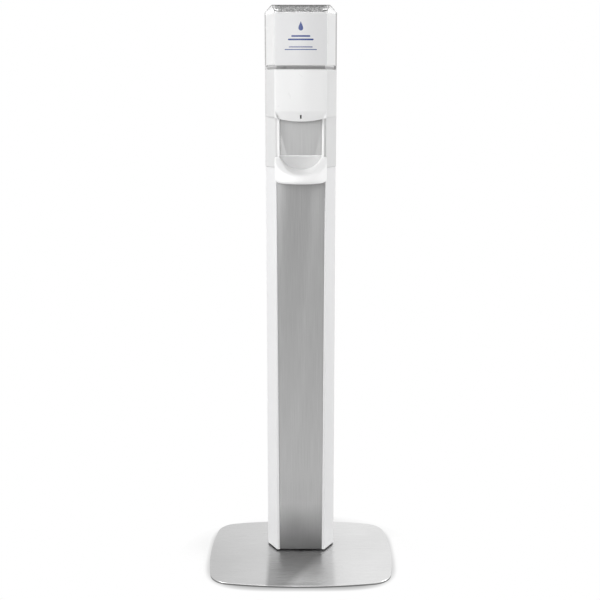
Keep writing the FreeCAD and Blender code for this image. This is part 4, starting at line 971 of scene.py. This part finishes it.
class STAND_OT_label(bpy.types.Operator):
    """Plain label on the refill with a drop and a few bars instead of words"""
    bl_idname = "stand.label"
    bl_label = "Label"

    def execute(self, context):
        detail = settings().stand_detail
        half = detail.label_w / 2
        outline = rounded_outline(-half, half, detail.label_foot, detail.label_head, LABEL_R)
        film = bent_film("refill_label", outline, LABEL_OUT, LABEL_T, LABEL_COLUMNS)
        add_piece("refill_label", film, "root", MATERIALS["label"], degrees=20)
        drop = []
        for step in range(DROP_STEPS):
            angle = 2 * math.pi * step / DROP_STEPS
            taper = math.sin(angle / 2) ** 2
            drop.append((DROP_HALF_W * math.sin(angle) * taper ** DROP_TAPER,
                         DROP_Z + DROP_HALF_H * math.cos(angle)))
        prints = [drop[::-1]]
        for width, z, tall in LABEL_BARS:
            prints.append(rounded_outline(-width / 2, width / 2, z - tall / 2, z + tall / 2,
                                          tall * BAR_ROUND, steps=3))
        for number, outline in enumerate(prints):
            name = "label_print_%d" % number
            mesh = bent_film(name, outline, PRINT_OUT, PRINT_T, PRINT_COLUMNS)
            add_piece(name, mesh, "root", MATERIALS["print"], degrees=30)
        return {"FINISHED"}


class STAND_OT_drive(bpy.types.Operator):
    """Pump, its fork and rack, the gears, the motor and their frame"""
    bl_idname = "stand.drive"
    bl_label = "Pump drive"

    def execute(self, context):
        edge = settings().stand_detail.edge
        dressed("pump_piston", "pump", MATERIALS["white_plastic"])
        dressed("pump_actuator", "pump", MATERIALS["grey_plastic"])
        dressed("drive_gear", "gear", MATERIALS["white_plastic"])
        dressed("motor_pinion", "pinion", MATERIALS["grey_plastic"])
        dressed("drive_motor", "root", MATERIALS["zinc_steel"])
        dressed("mechanism_frame", "root", MATERIALS["grey_plastic"], edge / 2,
                shortest=0.03)
        for node in ("guide_rods", "gear_axle", "frame_screws"):
            finish_node(node, MATERIALS["zinc_steel"])
        return {"FINISHED"}


class STAND_OT_power(bpy.types.Operator):
    """Batteries in their holder and the circuit board"""
    bl_idname = "stand.power"
    bl_label = "Batteries and board"

    def execute(self, context):
        dressed("battery_holder", "root", MATERIALS["grey_plastic"])
        dressed("battery_cells", "root", MATERIALS["cell_case"])
        dressed("circuit_board", "root", MATERIALS["board_green"])
        return {"FINISHED"}


class STAND_OT_tray(bpy.types.Operator):
    """Frame of the hand space and the drip tray"""
    bl_idname = "stand.tray"
    bl_label = "Drip tray"

    def execute(self, context):
        edge = settings().stand_detail.edge
        plastic = MATERIALS["tray_plastic"]
        dressed("tray_frame", "root", plastic, edge / 2, shortest=0.04)
        scoop = add_piece("drip_tray_scoop", tray_mesh(), "root", plastic, degrees=40)
        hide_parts("drip_tray")
        low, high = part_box("tray_frame")
        work = bmesh.new()
        for side in (-1, 1):
            size = Vector((FLANGE_OUT_X - FLANGE_IN_X, FLANGE_T, high.z - FLANGE_FOOT_Z))
            middle = Vector((side * (FLANGE_OUT_X + FLANGE_IN_X) / 2, high.y - FLANGE_T / 2,
                             (high.z + FLANGE_FOOT_Z) / 2))
            made = bmesh.ops.create_cube(work, size=1.0)
            for vertex in made["verts"]:
                vertex.co = Vector([vertex.co[i] * size[i] for i in range(3)]) + middle
        bmesh.ops.bevel(work, geom=work.edges[:], offset=FLANGE_T / 3, segments=3, profile=0.5,
                        affect="EDGES")
        mesh = bpy.data.meshes.new("hand_space_flanges")
        work.to_mesh(mesh)
        work.free()
        add_piece("hand_space_flanges", mesh, "root", MATERIALS["flange_plastic"])
        return {"FINISHED"}


class STAND_OT_screws(bpy.types.Operator):
    """Cross-head screws on the back, and the hidden screws of the dispenser and tray"""
    bl_idname = "stand.screws"
    bl_label = "Screws"

    def execute(self, context):
        detail = settings().stand_detail
        zinc = MATERIALS["zinc_steel"]
        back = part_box("column_shell")[1].y
        for node in ("column_screws", "housing_screws"):
            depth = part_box(node)[1].y - back
            seats = [((low.x + high.x) / 2, back, (low.z + high.z) / 2) for low, high in islands(node)]
            mesh = repeated(pan_head(detail.screw_r, depth), seats, zinc, node + "_heads")
            piece = add_piece(node + "_heads", mesh, "root", None, degrees=35)
            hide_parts(node)
        for node in ("body_screws", "tray_screws"):
            finish_node(node, zinc)
        return {"FINISHED"}


# Stage


def seen_rays(tree):
    """1 for the rays of the camera, of gloss and through glass, which see the plain background."""
    path = tree.nodes.new("ShaderNodeLightPath")
    result = path.outputs["Is Camera Ray"]
    for name in ("Is Glossy Ray", "Is Transmission Ray"):
        either = tree.nodes.new("ShaderNodeMath")
        either.operation = "MAXIMUM"
        tree.links.new(result, either.inputs[0])
        tree.links.new(path.outputs[name], either.inputs[1])
        result = either.outputs[0]
    return result


def studio_floor():
    """Floor that is seen white away from the plate, with a soft shadow under the plate's edge."""
    made = Shader("studio_floor")
    made.set(Base_Color=(0.8, 0.8, 0.8, 1), Roughness=0.9)
    made.skin.inputs["Specular IOR Level"].default_value = 0.0
    matt = made.node("ShaderNodeBsdfDiffuse")
    matt.inputs["Color"].default_value = (*grey(FLOOR_MATT), 1)
    glow = made.node("ShaderNodeEmission")
    glow.inputs["Strength"].default_value = FLOOR_GLOW
    near = made.node("ShaderNodeAddShader")
    made.join(matt.outputs[0], near.inputs[0])
    made.join(glow.outputs[0], near.inputs[1])
    away = made.node("ShaderNodeVectorMath", operation="LENGTH")
    made.join(made.mapped(FLOOR_STRETCH), away.inputs[0])
    blank = made.node("ShaderNodeEmission")
    both = made.node("ShaderNodeMixShader")
    made.join(made.spread(away.outputs["Value"], 0.0, 1.0, *FLOOR_FADE), both.inputs["Fac"])
    made.join(near.outputs[0], both.inputs[1])
    made.join(blank.outputs[0], both.inputs[2])
    # Fourth powers of X and Y give a rectangle with soft corners
    power = made.mapped((1 / SHADOW_HALF_W, 1 / SHADOW_HALF_D, 0.0))
    for _ in range(2):
        square = made.node("ShaderNodeVectorMath", operation="MULTIPLY")
        made.join(power, square.inputs[0])
        made.join(power, square.inputs[1])
        power = square.outputs[0]
    reach = made.node("ShaderNodeVectorMath", operation="DOT_PRODUCT")
    made.join(power, reach.inputs[0])
    reach.inputs[1].default_value = (1.0, 1.0, 0.0)
    shade = made.node("ShaderNodeEmission")
    made.join(made.spread(reach.outputs["Value"], SHADOW_TONE, 1.0, *SHADOW_RISE), shade.inputs["Strength"])
    darker = made.node("ShaderNodeMixShader")
    made.join(made.spread(reach.outputs["Value"], 1.0, 0.0, *SHADOW_FADE), darker.inputs["Fac"])
    made.join(both.outputs[0], darker.inputs[1])
    made.join(shade.outputs[0], darker.inputs[2])
    choose = made.node("ShaderNodeMixShader")
    made.join(seen_rays(made.tree), choose.inputs["Fac"])
    made.join(made.skin.outputs[0], choose.inputs[1])
    made.join(darker.outputs[0], choose.inputs[2])
    made.join(choose.outputs[0], made.output.inputs["Surface"])
    return made.material


def lamp(name, place, target, size, power):
    data = bpy.data.lights.new(name, "AREA")
    data.shape = "RECTANGLE"
    data.size, data.size_y = size
    data.energy = power
    piece = bpy.data.objects.new(name, data)
    bpy.context.scene.collection.objects.link(piece)
    piece.location = place
    piece.rotation_euler = (Vector(target) - Vector(place)).to_track_quat("-Z", "Y").to_euler()


def studio_world(strength):
    """Room of a given brightness, seen as plain white."""
    world = bpy.data.worlds.new("Studio")
    bpy.context.scene.world = world
    world.use_nodes = True
    tree = world.node_tree
    tree.nodes.clear()
    choose = tree.nodes.new("ShaderNodeMixShader")
    output = tree.nodes.new("ShaderNodeOutputWorld")
    for place, brightness in ((1, strength), (2, 1.0)):
        background = tree.nodes.new("ShaderNodeBackground")
        background.inputs["Color"].default_value = (1, 1, 1, 1)
        background.inputs["Strength"].default_value = brightness
        tree.links.new(background.outputs[0], choose.inputs[place])
    tree.links.new(seen_rays(tree), choose.inputs["Fac"])
    tree.links.new(choose.outputs[0], output.inputs["Surface"])


class STAND_OT_stage(bpy.types.Operator):
    """Pale floor, soft studio light and the camera"""
    bl_idname = "stand.stage"
    bl_label = "Stage"

    def execute(self, context):
        stage = settings().stand_stage
        scene = bpy.context.scene
        scene.view_settings.view_transform = "Standard"
        corners = [(-FLOOR_REACH, -FLOOR_REACH, 0), (FLOOR_REACH, -FLOOR_REACH, 0),
                   (FLOOR_REACH, FLOOR_REACH, 0), (-FLOOR_REACH, FLOOR_REACH, 0)]
        floor = mesh_from("studio_floor", corners, [(0, 1, 2, 3)])
        floor.materials.append(studio_floor())
        link("studio_floor", floor)
        studio_world(stage.sky)
        for name, (place, target, size) in LAMPS.items():
            lamp(name + "_lamp", place, target, size, getattr(stage, name))
        data = bpy.data.cameras.new("photo_camera")
        data.lens = stage.lens
        data.sensor_width = SENSOR_W
        data.shift_x = SHIFT_X
        data.shift_y = SHIFT_Y
        camera = bpy.data.objects.new("photo_camera", data)
        scene.collection.objects.link(camera)
        camera.location = (0, -stage.distance, stage.height)
        camera.rotation_euler = (math.radians(90 - stage.tilt), 0, 0)
        scene.camera = camera
        return {"FINISHED"}


STEPS = (
    STAND_OT_base,
    STAND_OT_column,
    STAND_OT_head,
    STAND_OT_cover,
    STAND_OT_refill,
    STAND_OT_froth,
    STAND_OT_label,
    STAND_OT_drive,
    STAND_OT_power,
    STAND_OT_tray,
    STAND_OT_screws,
    STAND_OT_stage,
)


class STAND_PT_panel(bpy.types.Panel):
    """Sizes, finishes and steps of the stand"""
    bl_idname = "STAND_PT_panel"
    bl_label = "Sanitizer stand"
    bl_space_type = "VIEW_3D"
    bl_region_type = "UI"
    bl_category = "Stand"

    def draw(self, context):
        for group in (context.scene.stand_finish, context.scene.stand_detail, context.scene.stand_stage):
            column = self.layout.column()
            for name in group.bl_rna.properties.keys():
                if name not in ("rna_type", "name"):
                    column.prop(group, name)
        for step in STEPS:
            self.layout.operator(step.bl_idname)


CLASSES = (FinishSettings, DetailSettings, StageSettings) + STEPS + (STAND_PT_panel,)


def register():
    for item in CLASSES:
        bpy.utils.register_class(item)
    bpy.types.Scene.stand_finish = PointerProperty(type=FinishSettings)
    bpy.types.Scene.stand_detail = PointerProperty(type=DetailSettings)
    bpy.types.Scene.stand_stage = PointerProperty(type=StageSettings)


def unregister():
    del bpy.types.Scene.stand_stage
    del bpy.types.Scene.stand_detail
    del bpy.types.Scene.stand_finish
    for item in reversed(CLASSES):
        bpy.utils.unregister_class(item)


def main():
    """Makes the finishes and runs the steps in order."""
    register()
    make_materials()
    for step in STEPS:
        group, name = step.bl_idname.split(".")
        getattr(getattr(bpy.ops, group), name)()


if __name__ == "__main__":
    main()
